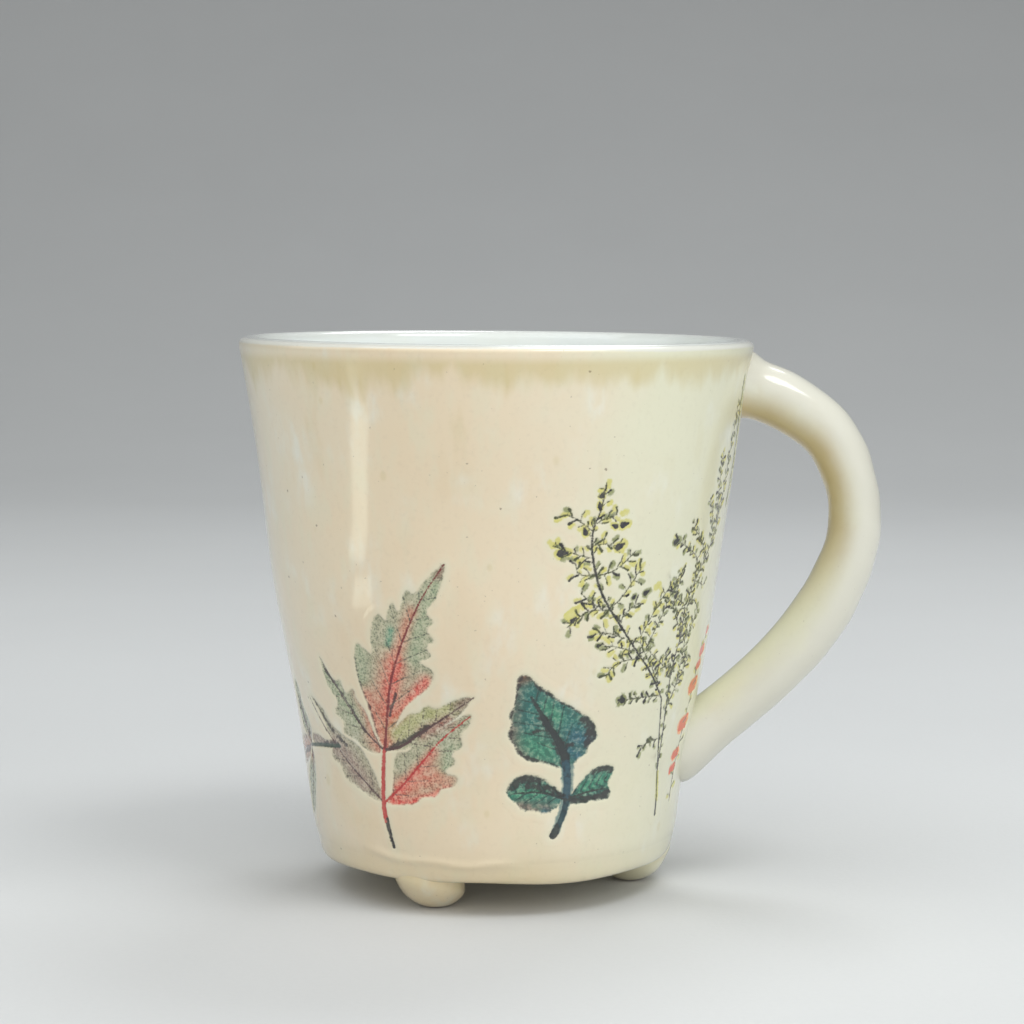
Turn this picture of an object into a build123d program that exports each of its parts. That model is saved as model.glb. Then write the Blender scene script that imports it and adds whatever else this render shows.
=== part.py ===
from build123d import *
import math
import os

# Hand-built stoneware mug on three ball feet, with plants pressed into the wall.
# Millimetres, +Z up. The origin is on the cup's axis, on the table that the feet stand on.
# The handle points along +X. Every plant is drawn flat, as seen from straight in front of
# it, in (across, height) coordinates, and pressed into the wall along that line of sight.

# ---- Driving dimensions -------------------------------------------------------------
FOOT_LIFT = 5.7  # from the table to the underside of the base
BASE_THICKNESS = 5.3
BASE_TOP_Z = FOOT_LIFT + BASE_THICKNESS
BASE_FLAT_RADIUS = 30.4
BASE_SHOULDER = (33.3, FOOT_LIFT + 3.2)  # where the rounded lower edge ends
BASE_EDGE_MID = (32.4, FOOT_LIFT + 0.9)

# The wall's outside, as (radius, height), with the clay's thickness at that height.
WALL_OUTSIDE = [
    (33.9, BASE_TOP_Z, 4.2),
    (35.3, 24.0, 4.0),
    (38.2, 40.5, 3.8),
    (41.1, 58.5, 3.6),
    (43.1, 74.0, 3.4),
    (44.9, 87.0, 3.3),
    (47.0, 99.9, 3.0),
]
LIP_RADIUS = 1.5
GLAZE = 0.5  # thickness of the white liner glaze
LIP_RUN_DOWN = 1.1  # how far the liner glaze runs down outside the lip

CORNER_COIL = 2.8  # leg of the clay coil that fills the inside corner

HANDLE_PATH = [  # centreline of the handle's roll of clay, from inside the wall, (x, height)
    (43.4, 93.8),
    (47.2, 92.7),
    (57.3, 88.4),
    (64.2, 80.2),
    (66.5, 68.3),
    (63.6, 56.0),
    (55.4, 43.8),
    (45.3, 34.2),
    (36.0, 27.3),
    (32.6, 24.9),
]
HANDLE_SECTIONS = [  # share of the path, half thickness, half width
    (0.0, 5.7, 6.3),
    (0.12, 5.6, 6.1),
    (0.30, 5.4, 5.8),
    (0.46, 4.95, 5.6),
    (0.60, 5.3, 5.8),
    (0.80, 5.5, 6.0),
    (1.0, 5.8, 6.4),
]
# The clay smeared round each root: distance from the handle's end, how much thicker and
# wider it is there than the roll, and how far its section is turned to lie along the wall.
UPPER_WAD = [(0.6, 0.4, 1.4, 1.0), (4.6, 0.6, 1.1, 0.5), (7.2, 0.3, 0.5, 0.0), (10.0, 0.08, 0.1, 0.0)]
LOWER_WAD = [(1.6, 0.8, 2.2, 1.0), (6.4, 1.0, 1.5, 0.5), (10.0, 0.5, 0.7, 0.0), (13.5, 0.08, 0.1, 0.0)]

FOOT_RING_RADIUS = 26.2
FOOT_RADIUS = 6.4
FOOT_HALF_HEIGHT = 6.2
FOOT_CENTRE_Z = 5.8
FOOT_REACH_Z = 9.6  # how far up the base's rounded edge the foot is smeared
FOOT_ANGLES = {"foot_under_handle": 2, "foot_back_left": 126, "foot_front_left": 246}

INLAY_DEPTH = 0.35  # how deep a plant is pressed in and filled with colour
PRESS_NEAR, PRESS_FAR = 20.0, 60.0  # span of the pressing, measured from the cup's axis
CLEAR_ABOVE = 8.0  # height above the wall kept clear of the handle's clay


# ---- Round pieces -------------------------------------------------------------------
def outside_points(inset=0.0):
    return [(radius - inset, z) for radius, z, _ in WALL_OUTSIDE]


def inside_points(glaze=0.0):
    return [(radius - clay - glaze, z) for radius, z, clay in WALL_OUTSIDE]


def turned(*edges):
    """Solid of revolution about the cup's axis, from edges drawn as (radius, height)."""
    face = Plane.XZ * make_face(list(edges))
    return revolve(face, Axis.Z)


def lip_arc(start, end, rise):
    middle = ((start[0] + end[0]) / 2, start[1] + rise)
    return ThreePointArc(start, middle, end)


def make_wall():
    outside, inside = outside_points(), inside_points()
    return turned(
        Spline(*outside),
        lip_arc(outside[-1], inside[-1], LIP_RADIUS),
        Spline(*reversed(inside)),
        Line(inside[0], outside[0]),
    )


def make_envelope(inset=0.0, headroom=0.0):
    """Everything within the wall's outside less an inset, and straight up from its top."""
    outside = outside_points(inset)
    radius, top = outside[-1]
    bottom = outside[0][1]
    corners = [(radius, top), (0, top), (0, bottom), outside[0]]
    if headroom:
        corners = [(radius, top), (radius, top + headroom), (0, top + headroom)] + corners[2:]
    return turned(Spline(*outside), Polyline(*corners))


def make_base():
    rim = outside_points()[0]
    return turned(
        Line((0, FOOT_LIFT), (BASE_FLAT_RADIUS, FOOT_LIFT)),
        ThreePointArc((BASE_FLAT_RADIUS, FOOT_LIFT), BASE_EDGE_MID, BASE_SHOULDER),
        Polyline(BASE_SHOULDER, rim, (0, BASE_TOP_Z), (0, FOOT_LIFT)),
    )


def corner_slope(glaze=0.0):
    """Ends of the slope from the floor to the wall, over the corner coil."""
    corner = inside_points()[0][0]
    start = (corner - CORNER_COIL - glaze, BASE_TOP_Z + glaze)
    end = (corner + 0.4 - glaze, BASE_TOP_Z + CORNER_COIL + glaze)
    return start, end


def make_corner_coil(wall):
    start, end = corner_slope()
    behind = (outside_points()[0][0] - 1.5, BASE_TOP_Z)
    return turned(Polyline(start, end, (behind[0], end[1]), behind, start)) - wall


def make_liner_glaze(wall, base, coil):
    start, end = corner_slope(GLAZE)
    inside = [end] + inside_points(GLAZE)[1:]
    outside_top = outside_points()[-1]
    lip_outside = (outside_top[0] + GLAZE, outside_top[1])
    run_end_z = outside_top[1] - LIP_RUN_DOWN
    in_clay = [(radius - clay / 2, z) for radius, z, clay in reversed(WALL_OUTSIDE)]
    region = turned(
        Polyline((0, BASE_TOP_Z + GLAZE), start, end),
        Spline(*inside),
        lip_arc(inside[-1], lip_outside, LIP_RADIUS + GLAZE),
        Polyline(
            lip_outside,
            (outside_top[0] + 0.15, run_end_z),
            (in_clay[0][0], run_end_z),
            *in_clay[1:],
            (in_clay[-1][0], BASE_TOP_Z - 1),
            (0, BASE_TOP_Z - 1),
            (0, BASE_TOP_Z + GLAZE),
        ),
    )
    return region - wall - coil - base


# ---- Handle and feet ----------------------------------------------------------------
def handle_path():
    return Plane.XZ * Spline(*HANDLE_PATH)


def section_at(path, share, half_thickness, half_width, turn=0.0):
    """Section across the roll, or turned towards lying along the wall and so longer."""
    along = path % share
    inwards = Vector(math.copysign(1, along.X), 0, 0)
    facing = (along * (1 - turn) + inwards * turn).normalized()
    plane = Plane(origin=path @ share, x_dir=(0, 1, 0), z_dir=facing)
    return plane * Ellipse(half_width, half_thickness / facing.dot(along))


def section_size(share):
    """Half thickness and half width of the roll at a share of the path."""
    for near, far in zip(HANDLE_SECTIONS, HANDLE_SECTIONS[1:]):
        if share <= far[0]:
            mix = (share - near[0]) / (far[0] - near[0])
            return [a + mix * (b - a) for a, b in zip(near[1:], far[1:])]
    return HANDLE_SECTIONS[-1][1:]


def make_handle(path, envelope):
    roll = loft([section_at(path, *section) for section in HANDLE_SECTIONS])
    return roll - envelope


def make_wad(path, steps, from_end, handle, envelope, liner):
    """Soft clay smeared round a root of the handle."""
    sections = []
    for distance, thicker, wider, turn in steps:
        share = distance / path.length
        share = 1 - share if from_end else share
        half_thickness, half_width = section_size(share)
        size = (half_thickness + thicker, half_width + wider)
        sections.append(section_at(path, share, *size, turn))
    return loft(sections) - envelope - handle - liner


def make_foot(angle, base):
    """Ball of clay squashed on the underside, with a worn flat where it meets the table."""
    reach = math.sqrt(1 - (FOOT_CENTRE_Z / FOOT_HALF_HEIGHT) ** 2)
    flat = FOOT_RADIUS * reach
    top = (0, FOOT_CENTRE_Z + FOOT_HALF_HEIGHT)
    widest = (FOOT_RADIUS, FOOT_CENTRE_Z)
    side = Spline((flat, 0), widest, top, tangents=[(1, 0.55), (-1, 0)])
    ball = turned(Line((0, 0), (flat, 0)), side, Line(top, (0, 0)))
    centre = Location((FOOT_RING_RADIUS, 0, 0))
    keep = Pos(0, 0, FOOT_REACH_Z / 2) * Box(200, 200, FOOT_REACH_Z)
    return (Rot(0, 0, angle) * centre * ball) & keep - base


# ---- Pressed plants -----------------------------------------------------------------
def bearing(here, there):
    return math.atan2(there[1] - here[1], there[0] - here[0])


def side_point(here, direction, offset):
    across = direction + math.pi / 2
    return (here[0] + offset * math.cos(across), here[1] + offset * math.sin(across))


def along_line(points, share):
    """Point and bearing at a share of an open line's length."""
    spans = [math.dist(a, b) for a, b in zip(points, points[1:])]
    left = share * sum(spans)
    for a, b, span in zip(points, points[1:], spans):
        if left <= span or b is points[-1]:
            mix = left / span
            here = (a[0] + mix * (b[0] - a[0]), a[1] + mix * (b[1] - a[1]))
            return here, bearing(a, b)
        left -= span


def stem(points, width, tip_width=None):
    """A stalk that tapers along a line of points."""
    tip_width = width if tip_width is None else tip_width
    last = len(points) - 1
    left, right = [], []
    for i, here in enumerate(points):
        direction = bearing(points[max(i - 1, 0)], points[min(i + 1, last)])
        half = (width + (tip_width - width) * i / last) / 2
        left.append(side_point(here, direction, half))
        right.append(side_point(here, direction, -half))
    return make_face(Polyline(*left, *reversed(right), close=True))


def leaflet(midrib, half_width, lobes, notch=0.62):
    """A leaf blade round its midrib, with lobes down both sides."""
    sides = {1: [], -1: []}
    steps = 2 * lobes
    for i in range(1, steps):
        share = i / steps
        here, direction = along_line(midrib, share)
        full = half_width * math.sin(math.pi * share**0.85)
        reach = full * (1 if i % 2 else notch)
        for side, outline in sides.items():
            outline.append(side_point(here, direction, side * reach))
    outline = [midrib[0], *sides[1], midrib[-1], *reversed(sides[-1])]
    return make_face(Polyline(*outline, close=True))


def buds(places, radius):
    return [Pos(x, z) * Circle(radius) for x, z in places]


def red_leaf():
    stalk = [(-0.5, 12.4), (-1.7, 18.0), (-1.5, 25.0), (-0.8, 30.0)]
    return [
        stem(stalk, 1.0, 0.7),
        leaflet([(-0.9, 29.0), (1.4, 41.8), (6.2, 52.7), (13.5, 63.9)], 6.6, 7),
        leaflet([(-1.1, 29.8), (-8.1, 36.7), (-14.4, 45.4)], 3.6, 4),
        leaflet([(-1.6, 20.3), (-10.5, 27.0), (-20.3, 37.0)], 3.4, 4),
        leaflet([(-0.9, 29.8), (6.8, 34.3), (16.4, 40.8)], 3.4, 4),
        leaflet([(-1.6, 20.3), (6.7, 28.8), (15.6, 37.7)], 4.6, 4),
    ]


def dark_leaf():
    blade = [
        (-1.2, 28.0),
        (-5.5, 28.9),
        (-9.2, 33.0),
        (-10.1, 39.0),
        (-9.2, 44.4),
        (-5.0, 41.4),
        (1.0, 37.6),
        (5.3, 33.2),
        (2.6, 29.6),
    ]
    stalk = [(-1.0, 15.0), (0.6, 19.0), (0.8, 24.0), (-0.6, 30.0)]
    return [
        make_face(Spline(*blade, periodic=True)),
        stem(stalk, 1.2, 1.8),
        leaflet([(0.6, 22.2), (-4.0, 23.4), (-9.0, 23.4)], 3.0, 3, 0.85),
        leaflet([(0.6, 21.6), (5.0, 23.4), (9.9, 23.2)], 3.0, 3, 0.85),
    ]


def yellow_sprig():
    stalk = [
        (11.9, 15.9),
        (10.9, 27.0),
        (9.2, 38.0),
        (1.2, 47.6),
        (-5.9, 55.9),
        (-10.3, 66.4),
        (-8.8, 77.6),
    ]
    twigs = [
        [(-10.5, 70.6), (-8.2, 72.0), (-5.4, 72.6)],
        [(-10.1, 67.2), (-5.4, 66.8)],
        [(-9.0, 61.7), (-5.0, 62.6), (-1.5, 65.7)],
        [(-5.6, 55.9), (-2.8, 58.0), (0.4, 62.8)],
        [(-3.0, 53.1), (-2.0, 55.4), (0.6, 56.3)],
        [(-9.9, 69.0), (-13.0, 71.6), (-15.2, 72.7)],
        [(-9.6, 65.0), (-12.8, 65.6), (-17.1, 67.3)],
        [(-8.2, 61.7), (-12.3, 62.0), (-12.9, 64.0)],
        [(-5.9, 55.9), (-9.0, 56.5), (-11.4, 58.8)],
        [(-5.6, 55.5), (-9.8, 55.7), (-13.4, 52.7)],
        [(-1.9, 50.6), (-6.1, 51.6), (-8.4, 51.3)],
        [(0.8, 47.8), (-3.8, 48.9), (-5.8, 49.0)],
        [(2.0, 46.4), (-1.9, 46.1), (-4.8, 43.3)],
        [(9.0, 38.2), (2.1, 38.9), (-1.5, 39.0)],
        [(10.6, 30.5), (6.7, 30.1), (5.2, 29.4)],
        [(8.0, 39.6), (5.3, 44.5), (1.9, 49.2), (3.6, 53.0), (8.2, 58.7)],
        [(3.4, 52.6), (2.4, 58.3)],
    ]
    heads = [(-8.6, 78.2), (-9.4, 75.4), (-6.0, 72.1), (-5.0, 66.8), (-11.7, 69.8), (-15.0, 66.0)]
    clusters = [(-12.4, 54.2), (-10.0, 57.2), (-7.8, 51.4), (-3.8, 45.0), (-1.4, 60.5), (2.4, 58.3)]
    return [
        stem(stalk, 0.7, 0.4),
        *[stem(twig, 0.4, 0.3) for twig in twigs],
        *buds(heads, 1.0),
        *buds(clusters, 1.2),
    ]


def fine_sprig():
    stalk = [(-2.2, 24.0), (-3.2, 37.0), (-2.0, 49.0), (0.3, 58.8), (6.0, 67.0), (8.4, 77.0)]
    twigs = [
        [(-3.2, 39.5), (-5.3, 43.8), (-8.9, 45.6), (-11.7, 48.2)],
        [(-9.2, 46.0), (-8.6, 50.0), (-5.6, 55.0), (-4.6, 61.0)],
        [(-2.0, 49.3), (-4.9, 53.2), (-6.3, 56.0)],
        [(0.4, 58.8), (0.4, 63.2), (-7.6, 66.9)],
        [(3.0, 62.9), (0.0, 67.1), (-3.2, 70.5)],
        [(6.0, 67.0), (4.2, 70.3), (1.7, 74.0)],
        [(-2.8, 41.0), (0.9, 42.8), (1.9, 45.3)],
        [(-2.0, 48.6), (1.9, 51.1), (3.4, 53.2)],
        [(0.4, 58.6), (4.7, 57.7)],
    ]
    tufts = [(-7.4, 66.9), (0.0, 66.8), (-4.6, 57.2), (-8.8, 47.2), (1.8, 45.2), (3.2, 53.0)]
    return [
        stem(stalk, 0.6, 0.35),
        *[stem(twig, 0.4, 0.3) for twig in twigs],
        *buds(tufts, 0.9),
    ]


def orange_sprig():
    stalk = [(-1.8, 17.6), (-1.6, 24.0), (-0.6, 34.0), (0.4, 42.0), (3.6, 49.6)]
    petals = [(-2.2, 26.2), (-1.2, 28.6), (-0.9, 33.6), (-0.4, 37.6), (0.4, 41.2), (1.9, 44.4), (3.4, 48.2)]
    return [stem(stalk, 0.5, 0.4), *buds(petals, 1.1)]


def grass_blade():
    return [stem([(1.2, 74.0), (1.9, 80.0), (1.4, 87.0), (0.6, 94.0)], 1.2, 0.7)]


def side_leaf():
    stalk = [(7.2, 29.4), (2.2, 28.8), (-3.4, 28.2)]
    return [
        stem(stalk, 0.8, 0.9),
        leaflet([(-3.0, 28.0), (-6.0, 32.5), (-7.0, 39.0)], 2.6, 4),
        leaflet([(-3.0, 28.0), (-8.5, 26.0), (-14.5, 24.0)], 2.8, 4),
        leaflet([(-3.0, 28.0), (-6.0, 21.0), (-10.5, 14.5)], 2.4, 4),
    ]


def fern_frond():
    """Upright frond: a pair of leaflets at each step up the stalk, shorter towards the tip."""
    stalk = [(-3.0, 15.0), (-1.0, 30.0), (0.5, 48.0), (0.0, 70.0)]
    blades = []
    for step in range(10):
        share = 0.2 + 0.075 * step
        root, direction = along_line(stalk, share)
        length = 11.5 * (1 - 0.75 * (step / 10) ** 1.3)
        for side in (1, -1):
            lean = direction + side * math.radians(62)
            tip = (root[0] + length * math.cos(lean), root[1] + length * math.sin(lean))
            blades.append(leaflet([root, tip], 1.25, 3, 0.8))
    return [stem(stalk, 0.9, 0.4), *blades]


def round_leaf():
    """Small rounded leaf with a pair of lobes, a sister of the dark one."""
    stalk = [(1.5, 15.5), (0.4, 21.0), (0.0, 27.0)]
    return [
        stem(stalk, 1.1, 1.4),
        leaflet([(0.0, 25.0), (0.8, 35.0), (3.6, 45.0)], 7.2, 4, 0.93),
        leaflet([(0.3, 21.4), (-4.4, 22.6), (-9.2, 22.0)], 2.9, 3, 0.85),
        leaflet([(0.3, 21.4), (5.2, 23.4), (9.4, 24.4)], 2.7, 3, 0.85),
    ]


PLANTS = {  # direction each plant faces, in degrees from the handle, and how it is drawn
    "red_leaf_inlay": (-118, red_leaf),
    "dark_leaf_inlay": (-67, dark_leaf),
    "orange_sprig_inlay": (-17, orange_sprig),
    "grass_blade_inlay": (-13, grass_blade),
    "side_leaf_inlay": (-150, side_leaf),
    "yellow_sprig_inlay": (-50, yellow_sprig),
    "fine_sprig_inlay": (-28, fine_sprig),
    "fern_frond_inlay": (150, fern_frond),
    "round_leaf_inlay": (96, round_leaf),
    "back_sprig_inlay": (52, yellow_sprig),
}


def make_inlay(angle, drawing, skin):
    """What the plant's outline cuts out of the wall's outermost skin."""
    turn = math.radians(angle)
    facing = (math.cos(turn), math.sin(turn), 0)
    rightwards = (-math.sin(turn), math.cos(turn), 0)
    start = tuple(PRESS_NEAR * value for value in facing)
    paper = Plane(origin=start, x_dir=rightwards, z_dir=facing)
    outline = Sketch() + drawing()
    return extrude(paper * outline, PRESS_FAR - PRESS_NEAR) & skin


# ---- Assembly -----------------------------------------------------------------------
def main():
    wall = make_wall()
    envelope = make_envelope()
    base = make_base()
    coil = make_corner_coil(wall)
    liner = make_liner_glaze(wall, base, coil)

    path = handle_path()
    inside_outline = make_envelope(headroom=CLEAR_ABOVE)
    handle = make_handle(path, inside_outline) - liner
    parts = {
        "base_disc": base,
        "corner_coil": coil,
        "liner_glaze": liner,
        "handle": handle,
        "upper_root_wad": make_wad(path, UPPER_WAD, False, handle, inside_outline, liner),
        "lower_root_wad": make_wad(path, LOWER_WAD, True, handle, inside_outline, liner),
    }
    for name, angle in FOOT_ANGLES.items():
        parts[name] = make_foot(angle, base)

    skin = envelope - make_envelope(INLAY_DEPTH)
    pressed = None
    for name, (angle, drawing) in PLANTS.items():
        inlay = make_inlay(angle, drawing, skin)
        if pressed is not None:
            inlay = inlay - pressed
        pressed = inlay if pressed is None else pressed + inlay
        parts[name] = inlay
    parts["wall"] = wall - pressed

    os.makedirs("parts", exist_ok=True)
    for name, shape in parts.items():
        export_step(shape, f"parts/{name}.step")
        print(name, len(shape.solids()), "solids", round(shape.volume, 1), "mm3")


main()
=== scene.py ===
"""Hand-built stoneware mug with plants pressed into its glazed wall, modelled around a fixed frame.

Lengths in this file are millimetres unless a name says otherwise, and the meshes are in metres.
The cup's axis is Z, the handle points along +X, and the feet stand on z = 0.
"""

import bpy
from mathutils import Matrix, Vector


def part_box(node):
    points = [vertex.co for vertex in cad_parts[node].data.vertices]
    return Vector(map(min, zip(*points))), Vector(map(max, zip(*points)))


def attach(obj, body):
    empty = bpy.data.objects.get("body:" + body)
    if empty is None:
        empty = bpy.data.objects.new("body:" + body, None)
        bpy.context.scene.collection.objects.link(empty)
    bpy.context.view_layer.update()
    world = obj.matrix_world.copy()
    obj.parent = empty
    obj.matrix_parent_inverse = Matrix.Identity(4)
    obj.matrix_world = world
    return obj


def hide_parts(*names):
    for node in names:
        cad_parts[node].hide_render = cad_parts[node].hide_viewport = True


bl_info = {
    "name": "Stoneware Mug With Pressed Plants",
    "version": (1, 0, 0),
    "blender": (4, 5, 0),
    "location": "3D View > Sidebar > Mug",
    "description": "Builds a hand-built stoneware mug, its glazes and its pressed plants",
    "category": "Object",
}

import math
import random

import bpy
import numpy as np

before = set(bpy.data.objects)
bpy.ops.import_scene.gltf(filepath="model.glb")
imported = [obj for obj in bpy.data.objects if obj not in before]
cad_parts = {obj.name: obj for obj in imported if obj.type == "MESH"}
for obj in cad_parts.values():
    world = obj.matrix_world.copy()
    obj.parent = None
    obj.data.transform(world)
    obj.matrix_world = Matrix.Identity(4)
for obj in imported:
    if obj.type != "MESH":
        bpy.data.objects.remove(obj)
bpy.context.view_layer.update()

MM = 0.001
UP_Z = (0, 0, 1)


def box_mm(node):
    """Lowest and highest corner of one of the frame's nodes, in millimetres."""
    return [tuple(value / MM for value in corner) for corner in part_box(node)]


LINER_LOW, LINER_HIGH = box_mm("liner_glaze")
BASE_Z, JOIN_Z = box_mm("base_disc")[0][2], box_mm("wall")[0][2]
LIP_RADIUS, LIP_Z = LINER_HIGH[0], LINER_HIGH[2]
# For each foot, how far its lower end leans in and its upper end is smeared out, in millimetres.
FEET = {"foot_front_left": (2.2, 0.0), "foot_under_handle": (1.0, 0.1), "foot_back_left": (1.2, 0.0)}
FOOT_RING, FOOT_RADIUS, FOOT_CENTRE_Z = 26.3, 6.4, 6.0

# The wall's outside, as (height, radius), from the joint with the base to the flare of the lip.
WALL_CURVE = [(8.7, 33.2), (11, 33.9), (19, 34.8), (26, 35.9), (35, 37.3), (46, 39.4), (57, 41.2)]
WALL_CURVE += [(67.5, 42.5), (81, 44.3), (90.5, 45.7), (96.8, 46.7), (100.4, 47.4)]
wall_fit = np.polynomial.Polynomial.fit(*zip(*WALL_CURVE), 7)


# ---- Settings a user would change ---------------------------------------------------------
def tint(red, green, blue):
    """Screen colour, 0 to 255, as the linear colour that shaders and properties take."""

    def linear(value):
        value /= 255
        return value / 12.92 if value <= 0.04045 else ((value + 0.055) / 1.055) ** 2.4

    return (linear(red), linear(green), linear(blue))


def length(name, description, default, low=0.0, high=200.0):
    """A length in millimetres."""
    return bpy.props.FloatProperty(
        name=name, description=description, default=default, min=low, max=high, precision=2
    )


def share(name, description, default, low=0.0, high=1.0):
    return bpy.props.FloatProperty(
        name=name, description=description, default=default, min=low, max=high, subtype="FACTOR"
    )


def colour(name, description, *values):
    return bpy.props.FloatVectorProperty(
        name=name, description=description, default=tint(*values), min=0, max=1, size=3, subtype="COLOR"
    )


def bearing(name, description, degrees):
    return bpy.props.FloatProperty(
        name=name, description=description, default=math.radians(degrees), subtype="ANGLE"
    )


class MugShape(bpy.types.PropertyGroup):
    clay_top: length("Clay thickness at the lip", "How thick the wall is at its lip, in mm", 3.0)
    clay_foot: length("Clay thickness at the base", "How thick the wall is at its foot, in mm", 4.2)
    unevenness: length("Unevenness", "How far the hand-built wall strays from round, in mm", 0.28)
    rim_tilt: length("Rim tilt", "How much lower the rim is at the handle than opposite it, in mm", 0.75)
    press_depth: length("Pressing depth", "How deep the plants are pressed in, in mm", 0.16)
    plant_margin: length("Plant margin", "Glaze that comes with each plant, beyond its outline, in mm", 2.0)


class MugGlaze(bpy.types.PropertyGroup):
    cream: colour("Cream", "Main colour of the outside glaze", 222, 212, 188)
    peach: colour("Peach", "Warm colour of the middle of the wall", 226, 207, 176)
    leaf_green: colour("Green cream", "Cooler colour of the side by the handle", 216, 216, 190)
    olive: colour("Olive", "Where the glaze pools thickly", 194, 176, 110)
    brown: colour("Brown", "Iron specks and pinholes", 104, 84, 62)
    white: colour("White", "Liner glaze over the inside", 228, 233, 231)
    clay: colour("Clay", "Bare fired clay", 205, 188, 160)
    roughness: share("Roughness", "Roughness under the glaze's clear surface", 0.3)
    speck_size: length("Speck size", "Distance between iron specks, in mm", 3.0)


class MugStage(bpy.types.PropertyGroup):
    floor_colour: colour("Floor", "Colour of the floor and backdrop", 203, 204, 203)
    camera_distance: length("Camera distance", "From the cup's axis to the camera, in mm", 511.5, 50, 3000)
    camera_height: length("Camera height", "Height of the camera above the floor, in mm", 116.5, 0, 2000)
    camera_azimuth: bearing("Camera azimuth", "Turn of the camera about the cup, towards the handle", 3.0)
    camera_pitch: bearing("Camera pitch", "How far the camera looks down", 5.27)
    camera_turn: bearing("Camera turn", "How far past the cup's axis the camera looks", 0.353)
    camera_lens: bpy.props.FloatProperty(
        name="Focal length",
        description="Focal length on a 36 mm sensor",
        default=97.07,
        min=10,
        max=500,
        unit="CAMERA",
    )


def shape():
    return bpy.context.scene.mug_shape


def glaze():
    return bpy.context.scene.mug_glaze


# ---- Shader arithmetic --------------------------------------------------------------------
class Wire:
    """A node's output that takes part in sums; each sum adds a Math node."""

    def __init__(self, tree, socket):
        self.tree = tree
        self.socket = socket

    def math(self, operation, *others):
        return node(self.tree, "ShaderNodeMath", {"operation": operation}, dict(enumerate((self, *others))))

    def __add__(self, other):
        return self.math("ADD", other)

    def __sub__(self, other):
        return self.math("SUBTRACT", other)

    def __rsub__(self, other):
        return node(self.tree, "ShaderNodeMath", {"operation": "SUBTRACT"}, {0: other, 1: self})

    def __mul__(self, other):
        return self.math("MULTIPLY", other)

    def __abs__(self):
        return self.math("ABSOLUTE")

    def ramp(self, low, high):
        """0 at low, 1 at high, and smooth between them."""
        sockets = {"Value": self, "From Min": low, "From Max": high}
        return node(self.tree, "ShaderNodeMapRange", {"interpolation_type": "SMOOTHSTEP"}, sockets)

    __radd__ = __add__
    __rmul__ = __mul__


def node(tree, kind, settings=None, sockets=None, out=0):
    """Adds any node: its settings first, then the values or links of its sockets."""
    made = tree.nodes.new(kind)
    for name, value in (settings or {}).items():
        setattr(made, name, value)
    for name, value in (sockets or {}).items():
        if isinstance(value, Wire):
            tree.links.new(value.socket, made.inputs[name])
        elif value is not None:
            made.inputs[name].default_value = value
    return Wire(tree, made.outputs[out]) if made.outputs else None


def mix(tree, factor, first, second):
    """Colour that goes from the first to the second as the factor goes from 0 to 1."""
    first = first if isinstance(first, Wire) else (*first, 1)
    second = second if isinstance(second, Wire) else (*second, 1)
    return node(tree, "ShaderNodeMix", {"data_type": "RGBA"}, {0: factor, 6: first, 7: second}, 2)


def vectors(tree, operation, first, second):
    """Vector Math of two vectors, or of a vector and the number that scales it."""
    sockets = {0: first, "Scale" if operation == "SCALE" else 1: second}
    return node(tree, "ShaderNodeVectorMath", {"operation": operation}, sockets)


def place_mm(tree):
    """Place on the mug in millimetres, the same for every piece."""
    return vectors(tree, "SCALE", node(tree, "ShaderNodeTexCoord", out="Object"), 1 / MM)


def split(tree, vector):
    apart = node(tree, "ShaderNodeSeparateXYZ", {}, {0: vector})
    return [Wire(tree, socket) for socket in apart.socket.node.outputs]


def drawn_out(tree, place, share_of_height):
    """Place whose height counts for less, so that a pattern on it runs down the wall."""
    return vectors(tree, "MULTIPLY", place, (1, 1, share_of_height))


def noise(tree, place, size, detail=2.0, shift=0.0):
    """Cloudy pattern from 0 to 1 whose patches are about the given size in millimetres."""
    if shift:
        place = vectors(tree, "ADD", place, (shift, shift, shift))
    return node(tree, "ShaderNodeTexNoise", {}, {"Vector": place, "Scale": 1 / size, "Detail": detail})


def ragged(tree, place):
    """Place with small shifts that make round dots ragged."""
    cloud = node(tree, "ShaderNodeTexNoise", {}, {"Vector": place, "Scale": 2.5, "Detail": 1.0}, "Color")
    shifts = vectors(tree, "SCALE", vectors(tree, "SUBTRACT", cloud, (0.5, 0.5, 0.5)), 0.5)
    return vectors(tree, "ADD", place, shifts)


def dots(tree, place, spacing, radius, keep):
    """Round dots, each as likely to be there as keep says."""
    cells = node(tree, "ShaderNodeTexVoronoi", {}, {"Vector": place, "Scale": 1 / spacing}, "Distance")
    chance, size, _ = split(tree, Wire(tree, cells.socket.node.outputs["Color"]))
    part = radius / spacing
    near = 1 - (cells - (size * 0.6 + 0.4) * part).ramp(-0.25 * part, 0.25 * part)
    return near * chance.math("LESS_THAN", keep)


def painted(tree, name, out="Fac"):
    """A number kept on the piece's vertices, or a colour if out is Color."""
    return node(tree, "ShaderNodeAttribute", {"attribute_name": name}, out=out)


def new_material(name, build):
    """Material whose build function returns the sockets of its glazed surface."""
    material = bpy.data.materials.new(name)
    material.use_nodes = True
    tree = material.node_tree
    tree.nodes.clear()
    surface = node(tree, "ShaderNodeBsdfPrincipled", {}, build(tree))
    node(tree, "ShaderNodeOutputMaterial", {}, {"Surface": surface})
    return material


def relief(tree, height):
    """Normal from a height in millimetres."""
    return node(tree, "ShaderNodeBump", {}, {"Height": height, "Distance": MM, "Strength": 1.0})


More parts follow.
